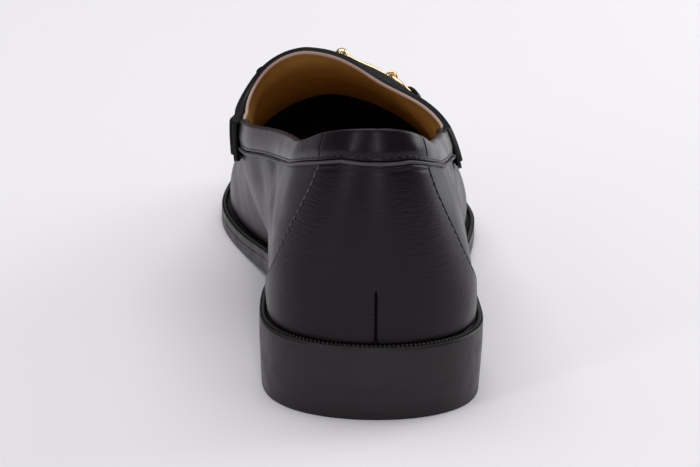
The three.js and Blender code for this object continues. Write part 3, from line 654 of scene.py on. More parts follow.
def calf(tree, place, tint, wrinkle=0.6, stretch=(0.16, 0.16, 1.0), gloss=0.34, depth=0.12):
    """Chrome-tanned calf, plated and polished: deep black, fine pores under a wax shine, short
    creases that run round the shoe where the leather was lasted, and soft unevenness under all"""
    creases = noise(tree, stretched(tree, place, stretch), wrinkle, 4.0)
    soft = bump(tree, noise(tree, place, 5, 2.0), 0.3, 0.16)
    fine = bump(tree, noise(tree, place, 0.55, 3.0), 0.12, 0.06, Normal=soft)
    return {
        "Base Color": mixed(tree, creases, tint, toned(tint, 0.7)),
        "Roughness": spread(tree, noise(tree, place, 14, 2.0), gloss - 0.05, gloss + 0.07),
        "Normal": bump(tree, creases, 0.45, depth, Normal=fine),
        "IOR": 1.31,
    }


def lining_of(last, finish):
    name = "Lining leather with cut edge"
    return material_of(name, lining_leather, finish, last.toe_lining_from)


def painted_edge(tree, place, tint):
    """Leather edge, sanded and painted black: satin, with faint streaks along the sole from
    the edge trimmer"""
    streaks = noise(tree, stretched(tree, place, (0.03, 0.03, 1.0)), 0.7, 3.0)
    return {
        "Base Color": mixed(tree, streaks, toned(tint, 0.7), toned(tint, 1.35)),
        "Roughness": spread(tree, noise(tree, place, 5, 5.0), 0.34, 0.5),
        "Normal": bump(tree, streaks, 0.3, 0.1),
        "IOR": 1.4,
    }


def lining_leather(tree, place, finish, toe_from):
    """Vegetable-tanned lining leather, dry and unpolished, with its pale cut edge along the
    topline and a black textile lining in the toe"""
    rim = add(tree, "ShaderNodeAttribute", attribute_name="rim").outputs["Fac"]
    folds = noise(tree, stretched(tree, place, (0.2, 0.35, 1.0), (0.0, 0.5, 0.4)), 1.6, 3.0)
    tone = mixed(
        tree, noise(tree, place, 11, 3.0), toned(finish.lining, 0.72), toned(finish.lining, 1.25)
    )
    with_cut = mixed(tree, test(tree, rim, 0.4 * MM, "LESS_THAN"), tone, finish.raw_edge)
    y = add(tree, "ShaderNodeSeparateXYZ", {0: place}).outputs["Y"]
    in_toe = test(tree, y, toe_from, "GREATER_THAN")
    fibres = bump(tree, noise(tree, place, 0.8, 4.0), 0.35, 0.12)
    return {
        "Base Color": mixed(tree, in_toe, with_cut, finish.toe_lining),
        "Roughness": 0.62,
        "Normal": bump(tree, folds, 0.5, 0.4, Normal=fibres),
        "IOR": 1.45,
    }


def waxed_thread(tree, place, tint, gloss=0.5, shine=0.5):
    """Waxed linen thread: a soft shine on a tight twist"""
    return {
        "Base Color": tint,
        "Roughness": gloss,
        "Normal": bump(tree, noise(tree, place, 0.25, 2.0), 0.4, 0.05),
        "Specular IOR Level": shine,
    }


def gold_plate(tree, place, tint):
    """Zinc casting with pale gold plate: mirror-like, softened by fine polishing marks"""
    marks = spread(tree, noise(tree, place, 0.4, 3.0), 0.12, 0.24)
    return {"Base Color": tint, "Roughness": marks, "Metallic": 1.0}


def studio_floor(tree, place, tint):
    """Seamless white studio board, dead matt"""
    return {
        "Base Color": tint,
        "Roughness": 0.9,
        "Normal": bump(tree, noise(tree, place, 25, 2.0), 0.02, 0.2),
    }


def row_tree(name):
    """Geometry Nodes that lay small rounded bodies along a path, upright on its 'up' vectors"""
    tree = bpy.data.node_groups.new(name, "GeometryNodeTree")
    tree.is_modifier = True
    face = tree.interface
    face.new_socket("Geometry", in_out="INPUT", socket_type="NodeSocketGeometry")
    for label in ("Pitch", "Length", "Width", "Height", "Turn"):
        face.new_socket(label, in_out="INPUT", socket_type="NodeSocketFloat")
    face.new_socket("Material", in_out="INPUT", socket_type="NodeSocketMaterial")
    face.new_socket("Geometry", in_out="OUTPUT", socket_type="NodeSocketGeometry")
    given = add(tree, "NodeGroupInput").outputs
    path = add(tree, "GeometryNodeMeshToCurve", {"Mesh": given["Geometry"]})
    evened = add(tree, "GeometryNodeResampleCurve", {
        "Curve": path.outputs[0], "Length": given["Pitch"],
    }, mode="LENGTH")
    tangent = add(tree, "GeometryNodeInputTangent").outputs[0]
    up = add(
        tree, "GeometryNodeInputNamedAttribute", {"Name": "up"}, data_type="FLOAT_VECTOR"
    ).outputs[0]
    turned = add(tree, "ShaderNodeVectorRotate", {
        "Vector": tangent, "Axis": up, "Angle": given["Turn"],
    }, rotation_type="AXIS_ANGLE").outputs[0]
    facing = add(tree, "FunctionNodeAlignRotationToVector", {"Vector": up}, axis="Z")
    heading = add(tree, "FunctionNodeAlignRotationToVector", {
        "Rotation": facing.outputs[0], "Vector": turned,
    }, axis="X", pivot_axis="Z")
    body = add(tree, "GeometryNodeMeshUVSphere", {"Segments": 10, "Rings": 6, "Radius": 0.5})
    size = {i: given[label] for i, label in enumerate(("Length", "Width", "Height"))}
    scale = add(tree, "ShaderNodeCombineXYZ", size)
    laid = add(tree, "GeometryNodeInstanceOnPoints", {
        "Points": evened.outputs[0], "Instance": body.outputs["Mesh"],
        "Rotation": heading.outputs[0], "Scale": scale.outputs[0],
    })
    real = add(tree, "GeometryNodeRealizeInstances", {"Geometry": laid.outputs[0]})
    smooth = add(tree, "GeometryNodeSetShadeSmooth", {"Geometry": real.outputs[0]})
    coated = add(tree, "GeometryNodeSetMaterial", {
        "Geometry": smooth.outputs[0], "Material": given["Material"],
    })
    add(tree, "NodeGroupOutput", {"Geometry": coated.outputs[0]})
    return tree


def row_along(name, paths, material, pitch, size, turn=0.0, slot="leather"):
    """Small bodies along paths of points and up vectors; their size in millimetres is the length
    along the path, the width and the height"""
    mesh = bpy.data.meshes.new(name + "_path")
    points, edges, ups = [], [], []
    for line, up in paths:
        start = len(points)
        points += [tuple(p) for p in line]
        ups += [tuple(u) for u in up]
        edges += [(start + i, start + i + 1) for i in range(len(line) - 1)]
    mesh.from_pydata(points, edges, [])
    mesh.attributes.new("up", "FLOAT_VECTOR", "POINT").data.foreach_set("vector", np.ravel(ups))
    holder = bpy.data.objects.new(name + "_path", mesh)
    bpy.context.scene.collection.objects.link(holder)
    tree = bpy.data.node_groups.get("row along a path") or row_tree("row along a path")
    modifier = holder.modifiers.new("row", "NODES")
    modifier.node_group = tree
    values = {"Pitch": pitch, "Turn": turn, "Material": material}
    values.update((key, side * MM) for key, side in zip(("Length", "Width", "Height"), size))
    for item in tree.interface.items_tree:
        if item.in_out == "INPUT" and item.name in values:
            modifier[item.identifier] = values[item.name]
    evaluated = holder.evaluated_get(bpy.context.evaluated_depsgraph_get())
    made = bpy.data.meshes.new_from_object(evaluated)
    made.name = name
    holder.modifiers.clear()
    bpy.data.objects.remove(holder)
    return keep(name, made, slot)


def throat_shares(climbed):
    """Shares of the length at even steps of the throat's edge"""
    bend = (1 - (1 - climbed) ** 2) ** (1 / THROAT_BEND)
    return THROAT_START + (THROAT_END - THROAT_START) * bend


def side_turns(heel, throat, toe):
    """Turns of the outer side, closer together where the throat edge climbs"""
    last_turn = float(turn_at(THROAT_END))
    heel_part = np.linspace(0, float(turn_at(THROAT_START)), heel, endpoint=False)
    shares = throat_shares(np.linspace(0, 1, throat, endpoint=False))
    toe_part = np.linspace(last_turn, math.pi, toe, endpoint=False)
    return np.concatenate([heel_part, turn_at(shares), toe_part])


class PieceBuilder:
    """Hands the last, the sizes and the colours in use to an operator's build"""

    def execute(self, context):
        scene = context.scene
        self.build(Last(scene.loafer_sizes), scene.loafer_sizes, scene.loafer_finish)
        return {"FINISHED"}


def vamp_creases(last, places):
    """The creases of the ball and the folds of the inner quarter, as a lift"""
    y = places[..., 1] / last.length
    height = (places[..., 2] - last.welt_top(places[..., 1])) / last.sizes.instep_height
    side = places[..., 0] / last.sizes.ball_width
    lift = np.zeros_like(y)
    for row in BALL_CREASES:
        lift += row.depth * MM * hump(y - row.at - row.lean * side, row.spread)
    lift *= smoothstep(height, 0.15, 0.5)
    inner = smoothstep(-side, 0.1, 0.25)
    for row in QUARTER_FOLDS:
        across = y - row.at - row.lean * (height - row.high)
        fold = hump(across, row.spread) * hump(height - row.high, FOLD_HEIGHT)
        lift += inner * row.depth * MM * fold
    return lift


def throat_curl(from_edge, cross):
    """How far the leather stands up along the throat, over the distance from its edge"""
    sag = SAG * hump(cross - SAG_CROSS, SAG_SPREAD)
    return (CURL - sag) * (1 - smoothstep(from_edge, 0, CURL_REACH))


class LOAFER_OT_upper(PieceBuilder, bpy.types.Operator):
    """Upper: one hollow leather wall with its lining, open at the collar, the throat and underneath"""

    bl_idname = "loafer.upper"
    bl_label = "Upper"

    def build(self, last, sizes, finish):
        outer = side_turns(heel=80, throat=60, toe=90)
        seam = float(turn_at(SIDE_SEAM_AT))
        speed = last.length / 2 * math.sin(seam)
        near = np.array([-1.4, -1.0, -0.7, -0.4, -0.2, 0, 0.2, 0.4, 0.7, 1.0, 1.4])
        outer = np.unique(np.concatenate([outer, seam + near * MM / speed]))
        turns = np.concatenate([outer, [math.pi], TURN - outer[:0:-1]])
        edge = last.opening(turns)
        front = edge == 1
        # Rows of the mesh: the lowest ones end at one climb, the others at the opening
        low_rows, rows, low_climb = 26, 76, 0.36
        step = np.arange(rows + 1)
        low = np.minimum(step, low_rows) / low_rows * low_climb
        high = np.maximum(step - low_rows, 0) / (rows - low_rows)
        climbs = low[None, :] + (edge[:, None] - low_climb) * high[None, :]
        grid = last.raw(turns[:, None], climbs)
        seam_way = (np.abs(np.mod(turns + math.pi, TURN) - math.pi) - seam) * speed
        step_down = 0.5 * smoothstep(seam_way, -0.1 * MM, 0.3 * MM)
        groove = -0.45 * hump(seam_way, 0.35 * MM) - step_down
        below = 1 - smoothstep(grid[..., 2] - last.welt_top(grid[..., 1]), 40 * MM, 44 * MM)
        fades = 1 - smoothstep(seam_way, 0.5 * MM, 12 * MM)
        lift = vamp_creases(last, grid) + groove[:, None] * fades[:, None] * below * MM
        rim_line = last.point(turns[~front], edge[~front])
        tree = kdtree.KDTree(len(rim_line))
        for i, p in enumerate(rim_line):
            tree.insert(p, i)
        tree.balance()
        on_last = last.point(turns[:, None], climbs)
        rim = np.array([tree.find(p)[2] for p in on_last.reshape(-1, 3)]).reshape(climbs.shape)
        share = last.along(turns)[:, None] / last.length
        cross = (1 - climbs) * np.where(turns[:, None] <= math.pi, -1, 1)
        curl = throat_curl(rim, cross) * smoothstep(share, THROAT_START - 0.01, THROAT_START + 0.02)
        outside = last.point(turns[:, None], climbs, lift + curl)
        depth = sizes.wall * (0.6 + 0.4 * smoothstep(rim, 1.5 * MM, 12 * MM))
        inside = last.point(turns[:, None], climbs, curl - depth)

        count, columns = climbs.shape
        points = np.concatenate([outside.reshape(-1, 3), inside.reshape(-1, 3)])
        rims = np.concatenate([np.full(climbs.size, 1.0), rim.ravel()])
        shift = climbs.size
        faces = both_skins(grid_faces(count, columns, wrap_rows=True), shift)
        lower = [i * columns for i in range(count)]
        faces += [(a, b, b + shift, a + shift) for a, b in zip(lower, lower[1:] + lower[:1])]

        # The ribs that end at the opening, in order from the inner end of the throat
        around = [i for i in range(count) if not front[i]]
        turn_on = next(k for k in range(len(around) - 1) if around[k + 1] != around[k] + 1)
        lap = [around[turn_on] + 1, *around[turn_on + 1:], *around[:turn_on + 1]]
        line, out = last.raw(turns[lap], edge[lap]), last.normal(turns[lap], edge[lap])
        way = unit(np.roll(line, -1, 0) - np.roll(line, 1, 0))
        up = unit(np.cross(out, way))
        up *= np.sign(up[len(lap) // 2, 2])
        arc_steps = 7
        bulge = 0.2 * sizes.wall
        arc_start = len(points)
        arcs = []
        for k in range(1, arc_steps):
            angle = math.pi * k / arc_steps
            share = (1 - math.cos(angle)) / 2
            top, bottom = outside[lap, -1], inside[lap, -1]
            arcs.append(top + (bottom - top) * share + up * bulge * math.sin(angle))
        points = np.concatenate([points, *arcs])
        arc_rims = np.repeat([1.0 if k == 1 else 0.0 for k in range(1, arc_steps)], len(lap))
        rims = np.concatenate([rims, arc_rims])
        columns_of = [[i * columns + columns - 1 for i in lap]]
        starts = [arc_start + k * len(lap) for k in range(arc_steps - 1)]
        columns_of += [list(range(start, start + len(lap))) for start in starts]
        columns_of += [[shift + i * columns + columns - 1 for i in lap]]
        for first, second in zip(columns_of, columns_of[1:]):
            for i in range(len(lap)):
                faces.append((first[i - 1], first[i], second[i], second[i - 1]))

        leather = material_of("Polished calf, vamp and quarters", calf, finish.calf, gloss=0.38)
        lining = lining_of(last, finish)
        attributes = {"rim": rims}
        piece = add_piece("upper", points, faces, leather, "leather", ["upper"], 1e-6, attributes)
        piece.data.materials.append(lining)
        values = np.zeros(len(piece.data.vertices), np.float32)
        piece.data.attributes["rim"].data.foreach_get("value", values)
        for polygon in piece.data.polygons:
            if max(values[list(polygon.vertices)]) < 0.5:
                polygon.material_index = 1


def counter_places(last, sizes, rows, columns):
    """Turns and climbs of the counter panel, row by row from the welt to the collar band"""
    rise = [r.rise * sizes.back_height + sizes.heel_height for r in COUNTER_FRONT]
    front = [r.front * sizes.heel_length for r in COUNTER_FRONT]
    seam = spline(rise, front)
    share = np.linspace(0, 1, rows)
    middle = np.linspace(-1, 1, columns)

    def top(turn):
        drop = sizes.piping_width + 0.1 * MM
        return last.climb_to(turn, lambda t, y: last.band_lower(t, y) - drop)

    edges = []
    for side in (-1, 1):
        def behind(turn):
            place = last.raw(side * turn, share * top(side * turn))
            bent = np.interp(place[:, 2], rise, front)
            return place[:, 1] < 0.35 * bent + 0.65 * seam(place[:, 2])

        edges.append(side * bisect(behind, np.zeros(rows), np.full(rows, 1.5)))
    turns = edges[0][:, None] + (edges[1] - edges[0])[:, None] * (middle[None, :] + 1) / 2
    climbs = share[:, None] * top(turns.ravel()).reshape(turns.shape)
    return turns, climbs


def edge_distance(points):
    """Distance of each point of a grid from the grid's nearest side, along its rows and columns"""
    along = np.linalg.norm(np.diff(points, axis=1), axis=-1)
    along = np.concatenate([np.zeros((len(points), 1)), np.cumsum(along, 1)], 1)
    up = np.linalg.norm(np.diff(points, axis=0), axis=-1)
    up = np.concatenate([np.zeros((1, points.shape[1])), np.cumsum(up, 0)], 0)
    sides = np.minimum(along, along[:, -1:] - along)
    return np.minimum(sides, up), np.minimum(sides, up[-1:] - up)


def shell(name, last, turns, climbs, lift, base, material, slot, nodes=(), over=False):
    """A closed panel between a lifted grid and a base over the same places"""
    if over:
        outside = last.over(turns, climbs, lift)[0]
        inside = last.over(turns, climbs, base)[0]
    else:
        outside = last.point(turns, climbs, lift)
        inside = last.point(turns, climbs, np.full_like(lift, base))
    rows, columns = turns.shape
    points = np.concatenate([outside.reshape(-1, 3), inside.reshape(-1, 3)])
    shift = turns.size
    faces = both_skins(grid_faces(rows, columns), shift)
    border = list(range(columns))
    border += [i * columns + columns - 1 for i in range(1, rows)]
    border += [(rows - 1) * columns + j for j in range(columns - 2, -1, -1)]
    border += [i * columns for i in range(rows - 2, 0, -1)]
    for a, b in zip(border, border[1:] + border[:1]):
        faces.append((a, b, b + shift, a + shift))
    return add_piece(name, points, faces, material, slot, nodes)


def rounded(distance, height, radius):
    """Lift of a panel that rounds off towards its edge"""
    inside = np.clip(distance / radius, 0, 1)
    return height * np.sqrt(1 - (1 - inside) ** 2)


class LOAFER_OT_counter(PieceBuilder, bpy.types.Operator):
    """Heel counter: the bell-shaped panel at the back, with its short dart seam and its stitches. The
    inner stitches are painted lighter as a highlight, the dart's stitches darker as painted shade, and
    rows of black thread along both edges are a painted shadow line
    """

    bl_idname = "loafer.counter"
    bl_label = "Counter"

    def build(self, last, sizes, finish):
        middle = 90
        turns, climbs = counter_places(last, sizes, rows=110, columns=2 * middle + 1)
        flat = last.point(turns, climbs)
        _, from_top = edge_distance(flat)
        lift = rounded(from_top, sizes.counter_thickness, 0.7 * MM)
        height = flat[..., 2] - sizes.heel_height
        dart_top = 15.5 * MM
        dart = hump(flat[..., 0] - flat[:, middle:middle + 1, 0], 0.36 * MM)
        dart *= 1 - smoothstep(height, dart_top - 1.5 * MM, dart_top + 1 * MM)
        stitched = 0.22 * MM * hump(from_top - 1.5 * MM, 0.45 * MM)
        dart_depth = 1.1 * MM
        lift = lift - dart_depth * dart - stitched
        stretch = (0.12, 0.12, 1.0)
        name = "Polished calf, counter"
        leather = material_of(name, calf, finish.calf, stretch=stretch, depth=0.26)
        shell("counter", last, turns, climbs, lift, 0.02 * MM, leather, "leather", ["counter"])
        thread = material_of("Waxed thread", waxed_thread, finish.thread)
        # seams gathers lines just outside the counter's edges, for a painted shadow line of black
        # thread
        paths, seams = [], []
        for column, out in ((4, -1), (-5, 1)):
            turn, climb = turns[6:-2, column], climbs[6:-2, column]
            paths.append(last.path(turn, climb, sizes.counter_thickness - 0.1 * MM))
            border = 0 if out < 0 else -1
            aside, beside = turns[2:, border] + out * 0.006, climbs[2:, border]
            seams.append(last.path(aside, beside, 0.12 * MM))
        # The inner edge's stitches take the lighter thread, a painted highlight where they catch the
        # light; the outer ones keep the black thread
        pale = material_of("Seam thread", waxed_thread, finish.painted_highlight_thread)
        stitch = (1.7, 0.5, 0.45)
        row_along("counter_stitches_outer", paths[1:], thread, sizes.stitch_pitch, stitch)
        row_along("counter_stitches", paths[:1], pale, sizes.stitch_pitch, stitch)
        # A close row of black thread bodies along both edges: a painted shadow line at the counter's
        # edge
        row_along("counter_seams", seams, thread, 0.9 * MM, (1.4, 0.75, 0.6))
        rows = (height[:, middle] > 1.5 * MM) & (height[:, middle] < dart_top)
        turn, climb = turns[rows, middle], climbs[rows, middle]
        path = [last.path(turn, climb, sizes.counter_thickness - 0.42 * MM)]
        # The dart's stitches are real thread, darkened to 0.3 of the thread colour: painted shade for
        # the shadow in the dart's groove
        matt = material_of("Matt linen thread", waxed_thread, toned(finish.thread, 0.3), 0.95, 0.1)
        row_along("dart_stitches", path, matt, 1.3 * MM, (1.5, 0.7, 0.6), turn=0.3)


class LOAFER_OT_collar(PieceBuilder, bpy.types.Operator):
    """Collar: a folded band over the topline, a raised strip along its seam painted a lighter grey as
    a highlight, and stitches
    """

    bl_idname = "loafer.collar"
    bl_label = "Collar band and piping"

    def build(self, last, sizes, finish):
        joins = counter_places(last, sizes, rows=3, columns=3)[0][-1, [0, 2]]
        near = np.array([-0.9, -0.5, -0.3, -0.15, 0, 0.15, 0.3, 0.5, 0.9]) * 0.02
        end = float(turn_at(THROAT_START + 1.2 * MM / last.length))
        turns = np.concatenate([np.linspace(-end, end, 421), *(join + near for join in joins)])
        turns.sort()
        from_join = np.min(np.abs(turns[:, None] - joins[None, :]), axis=1)
        join_groove = 0.4 * MM * hump(from_join, 0.0045)
        low = last.climb_to(turns, last.band_lower)
        high = last.opening(turns)
        edge = last.raw(turns, high)
        out = last.normal(turns, high)
        way = unit(np.gradient(edge, axis=0))
        up = unit(np.cross(out, way))
        up *= np.sign(up[:, 2:3])
        thick, wall = sizes.band_thickness, sizes.wall
        section = table(
            "share lift",
            (0.0, 0.02), (0.02, 0.45), (0.06, 0.62), (0.11, 0.5), (0.16, 0.62),
            (0.24, 0.92), (0.36, 1.05), (0.5, 1.1), (0.65, 1.08), (0.8, 1.02), (0.92, 1.0),
        )
        rings = []
        for row in section:
            lift = row.lift * thick - join_groove * smoothstep(row.share, 0.12, 0.3)
            rings.append(last.point(turns, low + (high - low) * row.share, lift))
        # The fold over the topline, the lip inside it, and the way back under the band
        folds = 9
        for k in range(folds + 1):
            angle = math.pi * k / folds
            reach = wall / 2 + (thick if angle < math.pi / 2 else 0.35 * MM)
            lift = -wall / 2 + reach * math.cos(angle)
            rings.append(edge + out * lift + up * 0.8 * MM * math.sin(angle) + last.move)
        inner = -(wall + 0.35 * MM)
        rings.append(edge + out * inner - up * 0.9 * MM + last.move)
        rings.append(edge + out * (inner + 0.15 * MM) - up * 1.25 * MM + last.move)
        rings.append(edge + out * (inner + 0.3 * MM) - up * 1.2 * MM + last.move)
        under = 6
        for k in range(under + 1):
            angle = math.pi * (1 - k / under)
            lift = -wall / 2 + (wall / 2 + 0.04 * MM) * math.cos(angle)
            rings.append(edge + out * lift + up * 0.55 * MM * math.sin(angle) + last.move)
        rings.append(last.point(turns, low + (high - low) * 0.5, 0.02 * MM))
        stretch = (0.5, 0.5, 0.8)
        leather = material_of("Polished calf, collar", calf, finish.calf, 0.9, stretch, 0.29, 0.16)
        loft("collar_band", np.stack(rings, 1), leather, "leather", ["collar_band"])

        drop = sizes.piping_width / 2 + 0.15 * MM
        middle = last.climb_to(turns, lambda t, y: last.band_lower(t, y) - drop)
        # The strip's lighter grey is a painted highlight on black leather
        piping = material_of("Rubbed calf, piping", calf, finish.piping, 1.2, (1, 1, 1), gloss=0.45)
        size = (sizes.piping_width, sizes.piping_height, 0.1 * MM)
        half_round("collar_piping", last, turns, middle, size, piping, steps=9)

        thread = material_of("Waxed thread", waxed_thread, finish.thread)
        climb = low + (high - low) * 0.11
        path = [last.path(turns, climb, 0.52 * thick)]
        row_along("collar_stitches", path, thread, sizes.stitch_pitch, (1.7, 0.5, 0.35))


def strap_end(last, sizes):
    """Y of the strap's back corners, and the height at which the strap ends"""
    corner_y = THROAT_START * last.length
    return corner_y, last.welt_top(corner_y) + sizes.quarter_height - sizes.strap_drop


def strap_front(last, sizes, z):
    """Front edge of the strap in side view at a height"""
    corner_y, end = strap_end(last, sizes)
    throat_top = last.length * (RIDGE_START + (RIDGE_END - RIDGE_START) * THROAT_END)
    ridge_y = throat_top + sizes.strap_ridge_width
    lean = (ridge_y - corner_y - sizes.strap_end_width) / (last.ridge_top(ridge_y) - end)
    return corner_y + sizes.strap_end_width + lean * (z - end)


# How far the ends of the strap hang below an even line, on the outer (1) and inner (-1) side
STRAP_HANG = {1: 3.6 * MM, -1: 1.6 * MM}


def strap_edges(last, sizes):
    """Back and front edge of the strap, each as turns and places across the shoe"""
    end = strap_end(last, sizes)[1]
    corner_turn = float(turn_at(THROAT_START))
    shares = throat_shares(np.linspace(0, 1, 80))
    end_rows, levels = 24, np.linspace(0.15, 1, 160)
    back, front = [], []
    for side in (1, -1):
        turns = turn_at(shares)
        opening = last.opening(side * turns)
        opening[-1] = 1
        hang = end - STRAP_HANG[side]
        start = last.climb_to(np.array([side * corner_turn]), lambda t, y: hang)[0]
        rise = np.linspace(start, opening[0], end_rows, endpoint=False)
        all_turns = np.concatenate([np.full(end_rows, corner_turn), turns])
        back.append((all_turns, np.concatenate([rise, opening])))

        def behind(turn):
            place = last.raw(side * turn, levels)
            return place[:, 1] < strap_front(last, sizes, place[:, 2])

        found = bisect(behind, np.full_like(levels, corner_turn - 0.3), np.full_like(levels, 2.8))
        height = last.raw(side * found, levels)[:, 2]
        keep_from = int(np.argmax(height > hang))
        front.append((found[keep_from:], levels[keep_from:]))
    return back, front


def even(last, turns, climbs, side, count):
    """An edge of the strap on one side, evened out by its length, from the end to the ridge"""
    points = last.raw(side * turns, climbs)
    length_to = np.concatenate([[0], np.cumsum(np.linalg.norm(np.diff(points, axis=0), axis=1))])
    target = np.linspace(0, length_to[-1], count)
    return np.interp(target, length_to, turns), np.interp(target, length_to, climbs)


def strap_grid(last, sizes, inset, count=130, columns=47):
    """Turns and places across the shoe of the strap's surface, drawn in from its edges"""
    back, front = strap_edges(last, sizes)
    half = []
    for side, (bt, bc), (ft, fc) in zip((1, -1), back, front):
        bt, bc = even(last, bt, bc, side, count)
        ft, fc = even(last, ft, fc, side, count)
        half.append((bt, side * (bc - 1), ft, side * (fc - 1)))
    joined = [np.concatenate([a, b[-2::-1]]) for a, b in zip(*half)]
    bt, bc, ft, fc = joined
    span = np.linalg.norm(last.over(bt, bc)[0] - last.over(ft, fc)[0], axis=1)
    run = last.over((bt + ft) / 2, (bc + fc) / 2)[0]
    along = np.concatenate([[0], np.cumsum(np.linalg.norm(np.diff(run, axis=0), axis=1))])
    from_end = np.minimum(along, along[-1] - along)
    keep_rows = from_end >= inset
    corner = 2.5 * MM
    way = np.clip((from_end - inset) / corner, 0, 1)
    squeeze = np.where(way < 1, (1 - (1 - way) ** 2.6) ** (1 / 2.6), 1) * 0.97 + 0.03
    v = np.linspace(0, 1, columns)
    margin = (inset / span)[:, None]
    v = 0.5 + (v[None, :] - 0.5) * (1 - 2 * margin) * squeeze[:, None]
    turns = bt[:, None] + (ft - bt)[:, None] * v
    cross = bc[:, None] + (fc - bc)[:, None] * v
    return turns[keep_rows], cross[keep_rows], from_end[keep_rows]


def strap_flare(from_end, from_back, cross):
    """How far the ends of the strap stand off the quarters, most on the inner side"""
    inner = 1.5 * MM * (1 - smoothstep(from_end, 20 * MM, 38 * MM))
    inner *= 0.6 + 0.4 * smoothstep(from_end, 4 * MM, 14 * MM)
    outer = 0.3 * MM * (1 - smoothstep(from_end, 2 * MM, 17 * MM))
    return np.where(cross > 0, inner, outer) * (1 - smoothstep(from_back, 5 * MM, 19 * MM))


class LOAFER_OT_strap(PieceBuilder, bpy.types.Operator):
    """Saddle strap over the instep: two layers of leather with stitched edges"""

    bl_idname = "loafer.strap"
    bl_label = "Saddle strap"

    def build(self, last, sizes, finish):
        stretch = (1, 1, 1)
        leather = material_of("Polished calf, strap", calf, finish.strap, 1.1, stretch, gloss=0.42)
        half = sizes.strap_thickness / 2
        groove_in, stitches_in = 1.5 * MM, 3.0 * MM
        for name, inset, base, nodes in (
            ("saddle_strap", 0.0, 0.02 * MM, ["saddle_strap"]),
            ("saddle_strap_top", 1.5 * MM, half * 0.8, []),
        ):
            turns, cross, from_end = strap_grid(last, sizes, inset)
            flat = last.over(turns, cross)[0]
            from_low, from_top = edge_distance(flat)
            distance = np.minimum(from_low, from_top)
            from_back = np.linalg.norm(flat - flat[:, :1], axis=-1) + inset
            flare = strap_flare(from_end[:, None], from_back, cross.mean(1)[:, None])
            curl = throat_curl(from_back, cross)
            top = half if inset == 0 else 2 * half - base
            lift = base + curl + rounded(distance, top, 0.5 * MM) + flare
            if inset:
                lift = lift - 0.35 * MM * hump(distance - groove_in, 0.35 * MM)
            under = base + curl if inset == 0 else base + curl + flare
            shell(name, last, turns, cross, lift, under, leather, "leather", nodes, over=True)
        turns, cross, from_end = strap_grid(last, sizes, stitches_in)
        thread = material_of("Waxed thread", waxed_thread, finish.thread)
        paths = []
        for column, from_back in ((0, stitches_in), (-1, 20 * MM)):
            flare = strap_flare(from_end, from_back, cross.mean(1))
            way = cross[:, column]
            lift = sizes.strap_thickness - 0.12 * MM + flare + throat_curl(from_back, way)
            paths.append(last.over(turns[:, column], way, lift))
        row_along("strap_stitches", paths, thread, sizes.stitch_pitch, (1.8, 0.5, 0.4))


class LOAFER_OT_apron(PieceBuilder, bpy.types.Operator):
    """Apron seam: the raised, puckered seam round the vamp"""

    bl_idname = "loafer.apron"
    bl_label = "Apron seam"

    def build(self, last, sizes, finish):
        start = float(turn_at(THROAT_START))
        levels = np.linspace(start, TURN - start, 700)

        def climb(turn):
            share = last.along(turn) / last.length
            return SEAM_CLIMB + (SEAM_TOE_CLIMB - SEAM_CLIMB) * smoothstep(share, THROAT_END, 1)

        line = last.raw(levels, climb(levels))
        turns = levels[line[:, 1] > strap_front(last, sizes, line[:, 2]) - 2 * MM]
        leather = material_of("Polished calf, strap", calf, finish.strap)
        size = (sizes.seam_width, sizes.seam_height, 0.2 * MM)
        centre, out = half_round("apron_seam", last, turns, climb(turns), size, leather, 11, 0.8)
        path = [(centre + out * (sizes.seam_height - 0.35 * MM), out)]
        size = (1.9, 0.95 * sizes.seam_width / MM, 1.3)
        row_along("apron_puckers", path, leather, 3.4 * MM, size, turn=0.12)


class LOAFER_OT_welt(PieceBuilder, bpy.types.Operator):
    """Welt: a strip all round with a knurled top"""

    bl_idname = "loafer.welt"
    bl_label = "Welt"

    def build(self, last, sizes, finish):
        turns = full_lap(720)
        wide, thick = sizes.welt_width, sizes.welt_thickness
        section = table(
            "offset drop",
            (wide - 0.1 * MM, thick + 0.22 * MM), (wide, thick), (wide, 0.3 * MM),
            (wide - 0.09 * MM, 0.09 * MM), (wide - 0.3 * MM, 0.0), (wide - 0.42 * MM, 0.12 * MM),
            (wide - 0.55 * MM, 0.6 * MM), (1.0 * MM, 0.9 * MM), (0.2 * MM, 1.1 * MM),
            (-0.6 * MM, 1.0 * MM), (-sizes.wall, 0.6 * MM), (-sizes.wall, thick),
        )
        rings = []
        for row in section:
            rings.append(last.level_ring(turns, row.offset, lambda y: last.welt_top(y) - row.drop))
        edge = material_of("Painted edge", painted_edge, finish.edge)
        loft("welt", np.stack(rings, 1), edge, "sole_edge", ["welt"], closed=True)
        closed = np.append(turns, TURN)
        line = last.level_ring(closed, 2.05 * MM, lambda y: last.welt_top(y) - 0.05 * MM)
        up = np.tile([0.0, 0.0, 1.0], (len(line), 1))
        rope = material_of("Waxed welt rope", waxed_thread, finish.thread)
        size = (0.95, 1.5, 1.3)
        row_along("welt_ribs", [(line, up)], rope, sizes.rib_pitch, size, 0.3, "sole_edge")


